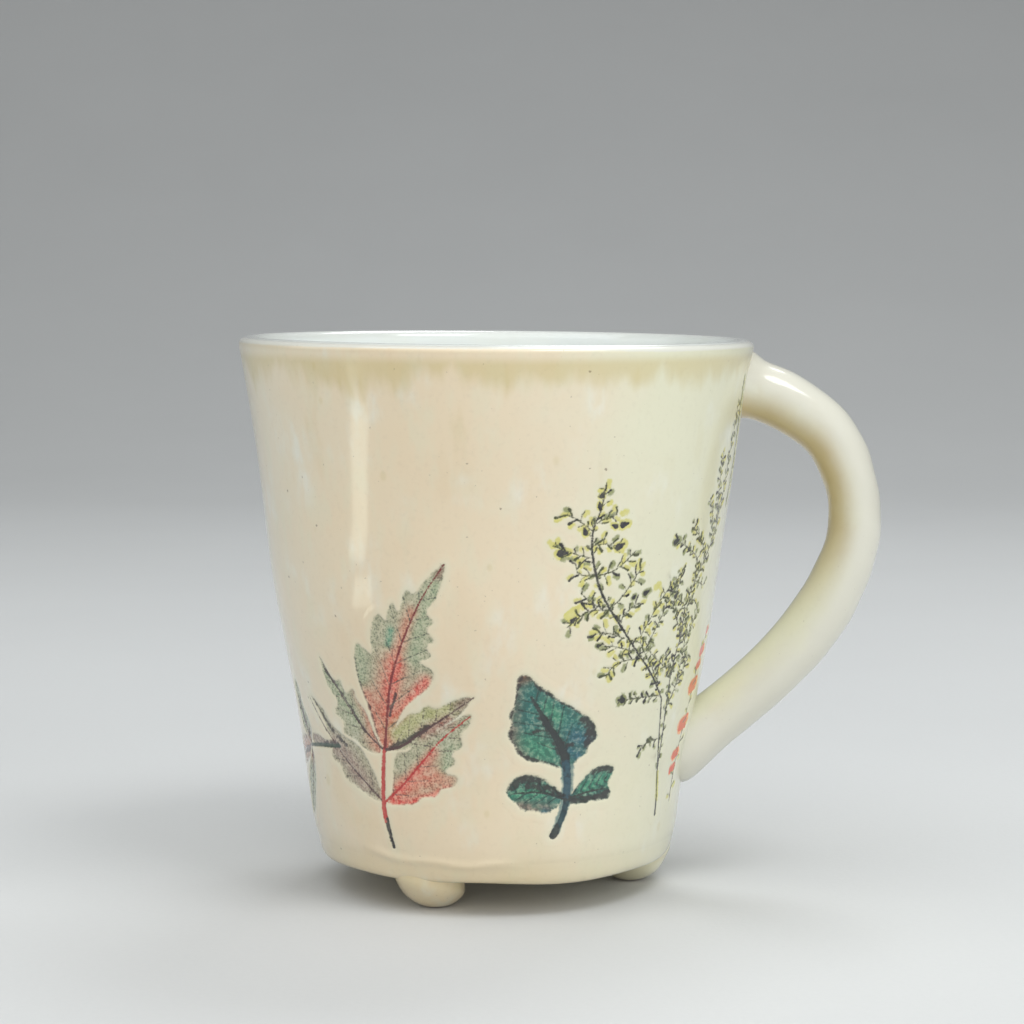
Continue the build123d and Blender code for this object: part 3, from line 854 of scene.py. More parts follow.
def yellow_sprig(facing=-50, seed=3):
    stalk = [(12, 16), (12, 19), (11.3, 24), (10.4, 30.5), (9.4, 38), (5.6, 43.2), (1.2, 47.6), (-2.7, 52.2),
             (-5.9, 56), (-8.1, 59.5), (-9.3, 63), (-10.3, 66.5), (-10.4, 70), (-9.2, 73.5), (-8.8, 78)]
    twigs = [
        [(-10.5, 70.6), (-8.2, 72), (-6.2, 72.5)],
        [(-10, 67.2), (-7.5, 67.4), (-5.4, 66.8)],
        [(-9, 61.7), (-5.8, 62.3), (-3.9, 63.5), (-1.5, 65.7)],
        [(-5.6, 56), (-3.8, 57), (-1, 60.7), (0.4, 62.8)],
        [(-3, 53), (-2.7, 54.4), (-0.5, 56), (0.6, 56.3)],
        [(-10.6, 69.8), (-13, 71.6), (-15.2, 72.7)],
        [(-10.4, 65), (-12.8, 65.6), (-17, 67.3)],
        [(-9.2, 61.7), (-12.3, 62), (-12.9, 64)],
        [(-5.9, 56), (-9, 56.5), (-11.4, 58.8)],
        [(-5.6, 55.5), (-9.8, 55.7), (-11.9, 54.1), (-13.4, 52.7)],
        [(-1.9, 50.2), (-6.1, 51.6), (-8.4, 51.3)],
        [(0.6, 47.6), (-3.8, 48.9), (-5.8, 49)],
        [(2, 46.2), (-1.9, 46.1), (-4.1, 45), (-4.8, 43.3)],
        [(8, 41), (5.3, 44.5), (1.9, 48.8), (1.9, 50.6), (3.9, 53.4), (5.4, 55.9), (8.2, 58.7)],
    ]
    low_twigs = [[(8.5, 38.8), (2.1, 38.9), (-1.5, 39)], [(9.8, 30.5), (6.7, 30.1), (5.2, 29)]]
    plant = Plant(facing, INK["lemon"])
    inks, glow = ["olive", "black", "olive"], ["lemon", "lemon", "moss"]
    for number, twig in enumerate(twigs):
        plant.tuft(twig, seed * 40 + number, inks, glow, 0.8, 1.5)
    for number, twig in enumerate(low_twigs):
        plant.tuft(twig, seed * 50 + number, ["black", "olive"], ["moss"], 0.7, 1.1, 0.36, 40)
    plant.tuft(stalk[4:], seed * 60, ["olive", "black"], ["lemon", "moss"], 1.2, 1.2, 0.28)
    plant.lines += [(INK["olive"], 0.22, 0.18, twig) for twig in twigs + low_twigs]
    plant.lines += [
        (INK["black"], 0.34, 0.5, stalk[4:11]),
        (INK["black"], 0.42, 0.25, stalk[10:]),
        (INK["black"], 0.3, 0.34, stalk[2:5]),
        (INK["olive"], 0.34, 0.3, stalk[1:3]),
        (INK["black"], 0.5, 0.4, stalk[:2]),
    ]
    plant.glows.append((INK["lemon"], 0.9, 0.7, stalk[1:3]))
    dark_buds = [
        (-4.2, 70.7, 1.2, 0.2), (-6.4, 70.5, 0.9, 2.8), (-4.6, 66.9, 1.3, 0.4), (-15, 66, 1.3, 0.1),
        (-11.8, 69.9, 1.0, 1.9), (-9.3, 76.2, 0.9, 1.2), (-9.6, 74.3, 0.8, 1.8), (-12.2, 54.2, 0.9, 0.9),
    ]
    green_buds = [
        (2.3, 58.2, 1.0, 0.5), (-1, 38.9, 1.1, 3.0), (-0.6, 57.6, 0.7, 1.0), (-6.9, 49.3, 0.7, 0.3),
    ]
    open_buds = [
        (-8.4, 78, 0.9, 1.6), (-15.4, 72.8, 1.0, 0.3), (-17.2, 67.6, 1.0, 2.4), (-4.6, 72.8, 1.0, 0.4),
        (4.6, 59.2, 1.1, 0.8), (-12.8, 55.2, 1.5, 0.9), (-8.2, 51.8, 1.0, 0.2), (0.4, 63, 0.9, 1.0),
    ]
    for bud in dark_buds:
        plant.bud("violet", *bud)
    for bud in green_buds:
        plant.bud("black", *bud, glow="moss")
    for bud in open_buds:
        plant.bud("lemon", *bud)
    return plant


def fine_sprig():
    stalk = [(-2.2, 24), (-2.4, 30.3), (-3.2, 37), (-3.5, 41.6), (-3, 46), (-1.8, 49.3), (-2, 54.7),
             (0.5, 58.8), (3.7, 62.9), (6.9, 67), (8.3, 73.5), (8.6, 77.5), (9.5, 84), (11, 91)]
    twigs = [
        [(-3.5, 41.6), (-4.7, 43.9), (-6.3, 46.8)],
        [(-3, 43.7), (-5.3, 43.6), (-8.7, 45.7), (-11.7, 48.2), (-9.5, 52), (-7.2, 57), (-5.2, 61)],
        [(-1.8, 49.3), (-4.9, 53.2), (-6.3, 56)],
        [(-2, 54.7), (-5.8, 56.8), (-4.8, 59.3), (-4.6, 61.5)],
        [(0.5, 58.8), (0.4, 63.2), (-3.6, 65.3), (-7.6, 66.9)],
        [(3.7, 62.9), (0.4, 67), (-2.2, 68.2), (-3.2, 70.5)],
        [(5.6, 66.7), (4.2, 70.3), (1.7, 74)],
        [(7.5, 69), (5.6, 74), (5, 78), (5.4, 82)],
        [(-0.9, 40.3), (0.9, 42.8), (1.9, 45.3)],
        [(-0.1, 48.3), (1.9, 51), (3.4, 53.2)],
        [(-1.1, 54.6), (1.4, 55.6)],
        [(1.6, 58.7), (4.7, 57.7)],
        [(-3, 36), (-0.9, 40.3), (-0.1, 48.3), (-1.1, 54.6)],
    ]
    plant = Plant(-28, INK["moss"])
    for number, twig in enumerate(twigs):
        plant.tuft(twig, 700 + number, ["olive", "black", "olive"], ["moss", "lemon"], 0.6, 1.15, 0.32, 60)
    plant.tuft(stalk[3:], 760, ["olive", "black"], ["moss", "lemon"], 0.6, 1.2, 0.32, 60)
    plant.tuft(stalk[:4], 761, ["olive", "black"], ["moss"], 1.3, 1.0, 0.28, 40)
    plant.lines += [(INK["olive"], 0.22, 0.18, twig) for twig in twigs]
    plant.lines += [(INK["black"], 0.34, 0.3, stalk[:7]), (INK["olive"], 0.3, 0.24, stalk[6:])]
    buds = [(-7.6, 66.9, 1.1, 0.4), (0.2, 66.8, 0.8, 1.2), (-5.4, 57, 0.8, 0.6), (-3.4, 65.2, 0.6, 0.2)]
    for bud in buds:
        plant.bud("black", *bud, glow="moss")
    return plant


def orange_sprig():
    stalk = [(-1.8, 17.5), (-1.6, 24), (-1.0, 30), (0, 38), (1, 44), (5, 49.5)]
    blossoms = [(-2.8, 23.8, 0.7), (-2.4, 26.5, 0.8), (-1.3, 32, 1.2), (0.1, 38.9, 1.15), (1.1, 42.6, 0.7),
                (2.2, 45.1, 0.8), (4.4, 48.6, 0.6)]
    plant = Plant(-17, INK["orange"])
    plant.tuft(stalk, 810, ["olive", "moss"], ["lemon"], 2.2, 1.5, 0.3, 50)
    plant.lines.append((INK["plum"], 0.3, 0.22, stalk))
    for across, height, size in blossoms:
        middle = [(across - 1.1 * size, height - 0.3 * size), (across + 1.1 * size, height + 0.3 * size)]
        plant.glows.append((tint(236, 132, 46), 2.6 * size, 2.2 * size, middle))
        for turn in (-0.9, -0.1, 0.8):
            petal = [(across - 1.3 * size, height + 0.5 * turn * size - 0.3),
                     (across + 1.4 * size, height + turn * size + 0.3)]
            plant.lines.append((INK["orange"], 1.0 * size, 0.7 * size, petal))
        if size > 1:
            throat = [(across - 0.2, height), (across + 1.2, height + 0.8)]
            plant.lines.append((INK["plum"], 0.9, 0.6, throat))
    return plant


def grass_blade():
    blade = [(1.2, 72), (2.2, 80), (1.6, 86), (0.6, 90), (0.2, 95.5)]
    twin = [(3.6, 74), (3.4, 82), (2.4, 88), (1.4, 95)]
    plant = Plant(-13, INK["moss"])
    plant.glows += [(INK["moss"], 1.1, 0.8, blade), (INK["lemon"], 0.7, 0.5, twin)]
    plant.tuft(blade, 900, ["black", "olive"], ["moss"], 1.0, 0.9, 0.26, 25)
    plant.tuft(twin, 901, ["olive", "black"], ["moss"], 1.1, 0.9, 0.26, 30)
    plant.lines += [(INK["olive"], 0.26, 0.2, blade), (INK["black"], 0.22, 0.18, twin)]
    return plant


def side_leaf():
    centre = (-3.2, 28)
    ribs = [[centre, (-6, 33), (-7.5, 39)], [centre, (-9, 26.5), (-15, 24)], [centre, (-6, 21), (-10.5, 14)]]
    blades = [
        [(-2.1, 30.6), (1.1, 30.8), (3.6, 29.9), (7, 30.6), (8, 29.8), (7, 28.9), (2, 28.4), (-2.4, 28.2)],
        [(-3, 27.5), (-1.6, 31), (-3.4, 34), (-5, 35), (-5.2, 38), (-7.8, 40.5), (-8.8, 37), (-8, 34),
         (-7, 30.5)],
        [(-3, 28.6), (-6, 30), (-9.5, 28.6), (-12, 27.5), (-16, 24), (-12.4, 22.6), (-9, 23.6), (-6, 24.5)],
        [(-2.6, 28), (-6, 24.6), (-9, 21), (-9.6, 18.5), (-11.4, 13), (-7, 15), (-5, 18.5), (-3, 22.5)],
    ]
    washes = [
        (PUCE, 1.6, [(-1, 30), (5, 29.8)]), (FRESH, 3, [(-6, 33), (-7.5, 39)]),
        (CORAL, 2.5, [(-5, 27), (-10, 26)]), (FRESH, 3, [(-6, 22), (-9, 16)]),
    ]
    shadows = [(0.7, [(7.4, 29.8), (2, 28.8)]), (0.8, [(-4, 30), (-8, 36)]), (0.7, [(-5, 27), (-12, 25)])]
    plant = Plant(-150, tint(112, 126, 106), blades, washes, shadows)
    plant.lines.append((INK["green"], 0.8, 0.6, [(7.8, 29.4), (2, 28.8), (-3.4, 28)]))
    for rib in ribs:
        plant.ribs(tint(80, 88, 74), rib, 5, 3.4)
        plant.lines.append((INK["plum"], 0.45, 0.2, rib))
    return plant


def fern_frond():
    stalk = [(-3, 15), (-1, 30), (0.5, 48), (0, 70)]
    plant = Plant(150, tint(104, 126, 88))
    for step in range(15):
        part = 0.16 + 0.054 * step
        root = np.array((-3 + 3.4 * part**0.7, 15 + 55 * part))
        reach = 12.0 * (1 - 0.8 * (step / 15) ** 1.3)
        for side in (1, -1):
            slant = math.radians(90 - side * 58)
            along = reach * np.array((math.cos(slant), math.sin(slant)))
            wide = np.array((-math.sin(slant), math.cos(slant)))
            shares = ((0, 0.5), (0.18, 1.3), (0.5, 1.15), (0.8, 0.7))
            upper = [tuple(root + share_of * along + size * wide) for share_of, size in shares]
            lower = [tuple(root + share_of * along - size * wide) for share_of, size in shares]
            tip = tuple(root + along)
            plant.blades.append([*upper, tip, *lower[::-1]])
            plant.lines.append((INK["green"], 0.3, 0.16, [tuple(root), tip]))
            plant.ribs(tint(76, 96, 66), [root, tip], 5, 1.3, 0.14)
    plant.lines.append((INK["plum"], 0.85, 0.35, stalk))
    plant.washes += [
        (FRESH, 7, [(0, 52), (0, 68)]), (YELLOW_GREEN, 3, [(3, 33), (9, 38)]),
        (CORAL, 2.5, [(-3, 25), (-10, 31)]), (TEAL, 2.5, [(1, 22), (8, 27)]),
    ]
    plant.shadows += [(0.7, [(-2, 27), (-8, 31)]), (0.7, [(0, 30), (8, 35)]), (0.6, [(0, 45), (7, 49)])]
    return plant


def round_leaf():
    spine = [(1.5, 15.5), (0.4, 21), (0, 27), (1, 35), (3.4, 44)]
    blades = [
        [(0, 25), (-4, 26.5), (-7, 30), (-8, 34), (-6.4, 39), (-3, 42.5), (1, 44.5), (4, 47), (6.5, 43),
         (9, 38.5), (9.4, 33), (7, 28.5), (3.6, 25.8)],
        [(0.3, 21.4), (-3, 24), (-7, 24.6), (-10, 22), (-8, 19.6), (-4, 19.4)],
        [(0.3, 21.4), (3.5, 20.6), (7, 21.6), (10.4, 24.6), (7.5, 26), (3.5, 25)],
    ]
    washes = [
        (EMERALD, 2.5, [(-4, 30), (-4, 38)]), (TEAL, 3, [(4, 31), (5, 39)]), (BLUE, 1.5, [(0, 26), (1, 32)]),
        (UMBER, 1.2, [(3.6, 44.5), (4, 47)]), (EMERALD, 1.6, [(3, 22.5), (8, 24.4)]),
    ]
    shadows = [
        (0.8, [(-7.6, 31), (-7.4, 36), (-5, 41)]), (0.9, [(8.8, 32), (8.8, 38), (6, 43.6)]),
        (0.8, [(0, 26), (1, 35), (2.6, 41)]), (0.9, [(-9, 22), (-4, 20.2)]), (0.8, [(4, 25), (9, 25)]),
    ]
    plant = Plant(96, DEEP, blades, washes, shadows)
    plant.ribs(tint(44, 76, 68), spine[2:], 6, 7.5, 0.3)
    plant.lines += [
        (INK["teal"], 1.1, 0.5, spine),
        (INK["green"], 0.4, 0.3, [(0.3, 21.4), (-9, 22)]),
        (INK["green"], 0.4, 0.3, [(0.3, 21.4), (9.6, 24.4)]),
    ]
    return plant


def back_sprig():
    return yellow_sprig(52, 8)


# For each plant's node: its drawing, its mesh's spacing in millimetres, how dense, how speckled and
# how blotchy its pigment is, how torn its edge is, and its slot.
PLANTS = {
    "red_leaf_inlay": (red_leaf, 0.18, 0.78, 0.5, 0.1, 0.5, "red_leaf_pigment"),
    "dark_leaf_inlay": (dark_leaf, 0.16, 1.0, 0.2, 0.7, 0.8, "dark_leaf_pigment"),
    "yellow_sprig_inlay": (yellow_sprig, 0.16, 0.8, 0.0, 0.0, 0.3, "yellow_sprig_pigment"),
    "fine_sprig_inlay": (fine_sprig, 0.16, 0.8, 0.0, 0.0, 0.3, "fine_sprig_pigment"),
    "orange_sprig_inlay": (orange_sprig, 0.16, 0.8, 0.0, 0.0, 0.3, "orange_pigment"),
    "grass_blade_inlay": (grass_blade, 0.16, 0.8, 0.0, 0.0, 0.3, "grass_pigment"),
    "side_leaf_inlay": (side_leaf, 0.2, 0.75, 0.6, 0.3, 0.5, "grey_leaf_pigment"),
    "fern_frond_inlay": (fern_frond, 0.2, 0.8, 0.6, 0.4, 0.5, "fern_pigment"),
    "round_leaf_inlay": (round_leaf, 0.2, 0.86, 0.3, 0.8, 0.7, "round_leaf_pigment"),
    "back_sprig_inlay": (back_sprig, 0.18, 0.8, 0.0, 0.0, 0.3, "back_sprig_pigment"),
}
DRAWINGS = {}


def drawing(node_name):
    if node_name not in DRAWINGS:
        DRAWINGS[node_name] = PLANTS[node_name][0]()
    return DRAWINGS[node_name]


def others_near(node_name, points):
    """The other plants that come near any of these places on the wall, with the places they see."""
    for other in PLANTS:
        if other != node_name:
            plant = drawing(other)
            spots, near = seen_from(plant.facing, points)
            low, high = plant.corners(3.0)
            close = np.flatnonzero(near & ((spots > low) & (spots < high)).all(1))
            if len(close):
                yield plant, close, spots[close]


def plant_glaze(dense, speckle, blotch, torn):
    """Cream glaze over a pressed plant: glows, pigment in the blades, charcoal, and ink in the lines."""

    def build(tree):
        look = glaze()
        place = place_mm(tree)
        made, specks = cream_colour(tree, place)
        edge, line, glow, shadow = (painted(tree, name) for name in ("edge", "line", "glow", "shadow"))
        grain = noise(tree, place, 0.36, 2, 5)
        patches = noise(tree, place, 0.9, 3, 7)
        broad = noise(tree, place, 2.2, 2, 9)
        body = (edge - 0.2 * torn + (patches - 0.5) * torn + (grain - 0.5) * torn * 0.4).ramp(-0.2, 0.35)
        near = edge.math("MAXIMUM", line).math("MAXIMUM", glow).ramp(-1.5, 0.1)
        made = mix(tree, near * 0.4, made, look.leaf_green)
        haze = (glow + (patches - 0.5) * 0.7 + (grain - 0.5) * 0.4).ramp(-0.25, 0.2)
        haze *= (0.5 + patches * 0.6).math("MINIMUM", 1.0)
        made = mix(tree, haze, made, painted(tree, "glow_ink", "Color"))
        pigment = painted(tree, "pigment", "Color")
        pigment = mix(tree, patches.ramp(0.42, 0.62) * blotch * 0.75, pigment, tint(32, 62, 56))
        pigment = mix(tree, broad.ramp(0.52, 0.7) * blotch * 0.4, pigment, tint(70, 142, 118))
        cover = body * (dense + (patches - 0.5) * 1.0 + (grain - 0.5) * (1.1 - 0.9 * blotch))
        made = mix(tree, cover.math("MAXIMUM", 0.0).math("MINIMUM", 1.0), made, pigment)
        freckles = grain.ramp(0.52, 0.62) * body * (0.3 + broad) * speckle
        made = mix(tree, freckles.math("MINIMUM", 0.85), made, tint(66, 74, 60))
        outline = (1 - abs(edge - 0.1).ramp(0.0, 0.3)) * broad.ramp(0.48, 0.62) * body
        made = mix(tree, outline * 0.35, made, INK["green"])
        charcoal = shadow * (0.3 + broad * 1.2) + (patches - 0.5) * 1.3 + (grain - 0.5) * 0.5
        made = mix(tree, body * charcoal.ramp(0.32, 0.8) * 0.88, made, tint(46, 38, 38))
        stroke = (line + (grain - 0.5) * 0.4 + (patches - 0.5) * 0.2).ramp(-0.12, 0.12)
        ink = mix(tree, patches.ramp(0.5, 0.66) * blotch, painted(tree, "ink", "Color"), tint(34, 40, 42))
        made = mix(tree, stroke * (0.76 + patches * 0.4).math("MINIMUM", 1.0), made, ink)
        height = cream_height(tree, place, specks) - stroke * 0.09 - body * (0.03 + patches * 0.08)
        rough = noise(tree, place, 4, 2, 61) * 0.12 + look.roughness
        return glossy(tree, made, height, rough)

    return build


# ---- Operators ----------------------------------------------------------------------------
def wall_radius(z):
    return float(wall_fit(z))


def clay_thickness(z):
    """The wall's thickness, from its foot to the lip."""
    look = shape()
    part = (z - JOIN_Z) / (LIP_Z - JOIN_Z)
    return look.clay_foot + part * (look.clay_top - look.clay_foot)


class MUG_OT_wall(bpy.types.Operator):
    """Tapered wall with its flared lip, sunk where the plants are pressed in"""

    bl_idname = "mug.wall"
    bl_label = "Wall"

    def execute(self, context):
        look = shape()
        outside = [(wall_radius(z), z) for z in np.linspace(JOIN_Z + 0.6, LIP_Z - 2.0, 30)]
        tuck = [(31.8, JOIN_Z - 1.6), (32.4, JOIN_Z - 2.6)]
        for below, inset in ((2.4, 0.16), (1.4, 0.11), (0.4, 0.02)):
            tuck.append((wall_radius(JOIN_Z - below) - inset, JOIN_Z - below))
        top_radius, top_z = outside[-1]
        over_lip = ((0.1, 0.85), (-0.3, 1.4), (-1.1, 1.75), (-2.0, 1.6), (-look.clay_top, 0.6))
        lip = [(top_radius + out, top_z + up) for out, up in over_lip]
        inner = [(wall_radius(z) - clay_thickness(z), z) for z in np.linspace(LIP_Z - 8, JOIN_Z + 4, 7)]
        inner.append((30.0, JOIN_Z - 0.6))
        piece = turned(tuck + outside + lip + inner, 112)
        points = coordinates(piece)
        radius = np.hypot(points[:, 0], points[:, 1])
        outer = radius > wall_fit(np.clip(points[:, 2], 9, 100)) - 1.2
        sunk = np.zeros(len(points))
        for name in PLANTS:
            plant = drawing(name)
            spots, near = seen_from(plant.facing, points)
            low, high = plant.corners(look.plant_margin)
            close = near & outer & ((spots > low) & (spots < high)).all(1)
            reach = plant.reach(spots[close])
            sunk[close] = np.maximum(
                sunk[close], smoothstep(reach, 1.1 - look.plant_margin, 1.9 - look.plant_margin)
            )
        points = outwards(hand_built(points), -0.4 * sunk)
        place_vertices(piece, points)
        smooth_shade(piece)
        material = new_material("cream glaze", cream_glaze)
        finish_piece(piece, "mug_wall", ["wall"], material)
        return {"FINISHED"}


class MUG_OT_base(bpy.types.Operator):
    """Base disc with a rounded, finger-smoothed lower edge"""

    bl_idname = "mug.base"
    bl_label = "Base"

    def execute(self, context):
        low = BASE_Z
        under = [(0, 0), (8, 0), (16, 0), (23, 0), (27.5, 0), (30.9, 0.03), (32.3, 0.55), (32.9, 1.7)]
        side = [(wall_radius(low + up) - 0.07, up) for up in (3.1, 4.0, 5.0, 5.6)]
        top = [(33, 6.2), (32, 6.2), (29, 5.4), (20, 5.2), (10, 5.2), (0, 5.2)]
        piece = turned([(radius, low + up) for radius, up in under + side + top], 96)
        points = coordinates(piece)
        around = np.arctan2(points[:, 1], points[:, 0])
        edge = smoothstep(np.hypot(points[:, 0], points[:, 1]), 24, 31)
        edge *= 1 - smoothstep(points[:, 2], 6, 10)
        points[:, 2] += edge * (0.22 * np.sin(3 * around + 0.8) + 0.16 * np.sin(7 * around))
        place_vertices(piece, hand_built(points))
        smooth_shade(piece)
        finish_piece(piece, "mug_base", ["base_disc"], bpy.data.materials["cream glaze"])
        return {"FINISHED"}


class MUG_OT_liner(bpy.types.Operator):
    """White glaze over the floor, the inside and the lip"""

    bl_idname = "mug.liner"
    bl_label = "Liner glaze"

    def execute(self, context):
        floor = LINER_LOW[2] + 0.5
        crest = LIP_RADIUS - 1.9
        bowl = [(0, 0), (8, 0), (16, 0), (22, 0.1), (26.6, 0.9), (28.5, 2.6), (29.4, 5)]
        rim = [(-1.75, -1.6), (-1.2, -0.55), (-0.3, -0.02), (0.45, -0.12), (0.95, -0.75), (0.2, -1.1)]
        rim.append((-0.8, -2.2))
        under = [(29.6, 3), (28, -0.2), (20, -0.6), (0, -0.6)]
        surface = [(radius, floor + up) for radius, up in bowl]
        surface += [(wall_radius(z) - clay_thickness(z) - 0.5, z) for z in np.linspace(24, LIP_Z - 4.5, 13)]
        surface += [(crest + out, LIP_Z + up) for out, up in rim]
        surface += [(wall_radius(z) - clay_thickness(z) + 0.15, z) for z in np.linspace(LIP_Z - 5, 24, 8)]
        surface += [(radius, floor + up) for radius, up in under]
        piece = turned(surface, 96)
        place_vertices(piece, hand_built(coordinates(piece)))
        smooth_shade(piece)
        material = new_material("white glaze", white_glaze)
        finish_piece(piece, "liner_coat", ["liner_glaze"], material)
        return {"FINISHED"}


class MUG_OT_corner(bpy.types.Operator):
    """Gives the coil in the inside corner its bare clay"""

    bl_idname = "mug.corner"
    bl_label = "Corner coil"

    def execute(self, context):
        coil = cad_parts["corner_coil"]
        coil.data.materials.clear()
        coil.data.materials.append(new_material("bare clay", bare_clay))
        return {"FINISHED"}


# Centreline of the handle in the plane y = 0, as (x, height, half thickness, half width).
HANDLE_LINE = [
    (39.0, 94.6, 7.0, 8.4),
    (43.0, 93.7, 7.0, 8.4),
    (45.4, 93.2, 6.9, 8.0),
    (47.0, 92.6, 6.1, 6.8),
    (48.6, 92.1, 5.45, 6.2),
    (51.6, 91.1, 5.6, 6.05),
    (55.4, 89.2, 5.5, 6.0),
    (60.3, 85.7, 5.3, 5.8),
    (63.2, 82.0, 5.1, 5.7),
    (65.4, 77.3, 4.95, 5.6),
    (66.5, 72.4, 4.9, 5.6),
    (66.7, 67.6, 4.95, 5.6),
    (65.9, 62.4, 5.1, 5.7),
    (64.2, 57.4, 5.3, 5.8),
    (61.4, 52.0, 5.45, 5.9),
    (58.0, 47.2, 5.5, 5.9),
    (54.0, 42.4, 5.45, 5.9),
    (49.6, 38.1, 5.4, 5.9),
    (45.2, 34.3, 5.35, 6.0),
    (41.8, 31.5, 5.4, 6.2),
    (39.4, 29.6, 5.5, 6.6),
    (37.2, 27.9, 5.9, 7.3),
    (34.6, 25.9, 6.4, 8.0),
    (30.0, 22.3, 6.6, 8.2),
]
MIDWAY_Z = 60.0
BEND_CENTRE = (44.0, 64.0)
ROLL_RADIUS = 5.4


def turn_ring(angle, centre):
    """Turns what is selected about Y, against the operator's own sense."""
    bpy.ops.transform.rotate(value=-angle, orient_axis="Y", center_override=centre)


def swept(line, sides=20, levels=2):
    """A ring extruded, moved, turned and sized from place to place along a line in the plane y = 0."""
    alone()
    places = [np.array(place[:2]) for place in line]
    headings = []
    for number in range(len(line)):
        ahead = places[min(number + 1, len(line) - 1)] - places[max(number - 1, 0)]
        headings.append(math.atan2(ahead[1], ahead[0]))
    x, z, thick, wide = line[0]
    bpy.ops.mesh.primitive_circle_add(vertices=sides, radius=MM, fill_type="NGON", enter_editmode=True)
    bpy.ops.mesh.select_all(action="SELECT")
    bpy.ops.transform.resize(value=(thick, wide, 1), center_override=(0, 0, 0))
    turn_ring(math.pi / 2 - headings[0], (0, 0, 0))
    bpy.ops.transform.translate(value=(x * MM, 0, z * MM))
    for before, after, was, now in zip(line, line[1:], headings, headings[1:]):
        step = ((after[0] - before[0]) * MM, 0, (after[1] - before[1]) * MM)
        bpy.ops.mesh.extrude_region_move(TRANSFORM_OT_translate={"value": step})
        centre = (after[0] * MM, 0, after[1] * MM)
        turn_ring(was - now, centre)
        grow = after[2] / before[2]
        bpy.ops.transform.resize(value=(grow, after[3] / before[3], grow), center_override=centre)
    bpy.ops.mesh.select_all(action="SELECT")
    bpy.ops.mesh.normals_make_consistent(inside=False)
    bpy.ops.object.mode_set(mode="OBJECT")
    piece = bpy.context.object
    apply_modifier(piece, "SUBSURF", levels=levels, render_levels=levels)
    return piece


def choose_half(piece, upper):
    """Selects the faces of the handle's upper or lower half."""
    alone(piece)
    bpy.context.tool_settings.mesh_select_mode = (False, False, True)
    for group in (piece.data.vertices, piece.data.edges):
        group.foreach_set("select", np.zeros(len(group), bool))
    heights = np.array([face.center.z for face in piece.data.polygons]) / MM
    piece.data.polygons.foreach_set("select", (heights > MIDWAY_Z) == upper)
    bpy.ops.object.mode_set(mode="EDIT")


def cut_half(piece, upper, place, normal, keep_front=True):
    """Cuts one half of the handle by a plane, keeps one side and closes the cut."""
    choose_half(piece, upper)
    bpy.ops.mesh.bisect(
        plane_co=[value * MM for value in place],
        plane_no=normal,
        use_fill=True,
        clear_inner=keep_front,
        clear_outer=not keep_front,
    )
    bpy.ops.object.mode_set(mode="OBJECT")


def inside_bend(points):
    """How far each point lies to the inside of the handle's bend, in half thicknesses."""
    line = np.array([place[:2] for place in HANDLE_LINE])
    flat = points[:, [0, 2]]
    _, along = from_line(line, flat)
    spans = np.hypot(*np.diff(line, axis=0).T)
    marks = np.concatenate([[0], np.cumsum(spans)]) / spans.sum()
    centre = np.column_stack([np.interp(along, marks, line[:, axis]) for axis in (0, 1)])
    inwards = np.array(BEND_CENTRE) - centre
    return ((flat - centre) * inwards).sum(1) / np.hypot(*inwards.T) / ROLL_RADIUS


class MUG_OT_handle(bpy.types.Operator):
    """Roll of clay bent into the handle, and the clay smeared round its two roots"""

    bl_idname = "mug.handle"
    bl_label = "Handle"

    def execute(self, context):
        material = new_material("handle glaze", handle_glaze)
        roll = swept(HANDLE_LINE)
        taper = -0.15
        for upper, height, depth in ((True, 92.5, 1.9), (False, 26.5, 2.5)):
            in_wall = (wall_radius(height) - depth, 0, height)
            cut_half(roll, upper, in_wall, (1, 0, taper))
        joints = {"upper_root": (True, (50.4, 0, 91.5), (0.94, 0, -0.34)),
                  "lower_root": (False, (40.2, 0, 30.2), (0.79, 0, 0.61))}
        for name, (upper, place, normal) in joints.items():
            alone(roll)
            bpy.ops.object.duplicate()
            root = context.object
            choose_half(root, not upper)
            bpy.ops.mesh.delete(type="FACE")
            bpy.ops.object.mode_set(mode="OBJECT")
            cut_half(root, upper, place, normal, keep_front=False)
            cut_half(roll, upper, place, normal)
            self.finish(root, name, name + "_wad", material)
        self.finish(roll, "handle_roll", "handle", material)
        return {"FINISHED"}

    def finish(self, piece, name, replaced, material):
        points = coordinates(piece)
        points[:, 1] += 0.25 * np.sin(points[:, 2] * 0.12 + 1)
        ripple = 0.1 * np.sin(points[:, 2] * 0.31) + 0.07 * np.sin(points[:, 2] * 0.8 + points[:, 1] * 0.5)
        points[:, 0] += ripple * smoothstep(points[:, 0], 50, 60)
        place_vertices(piece, points)
        store(piece, "inside_bend", inside_bend(points))
        smooth_shade(piece, 60)
        finish_piece(piece, name, [replaced], material)


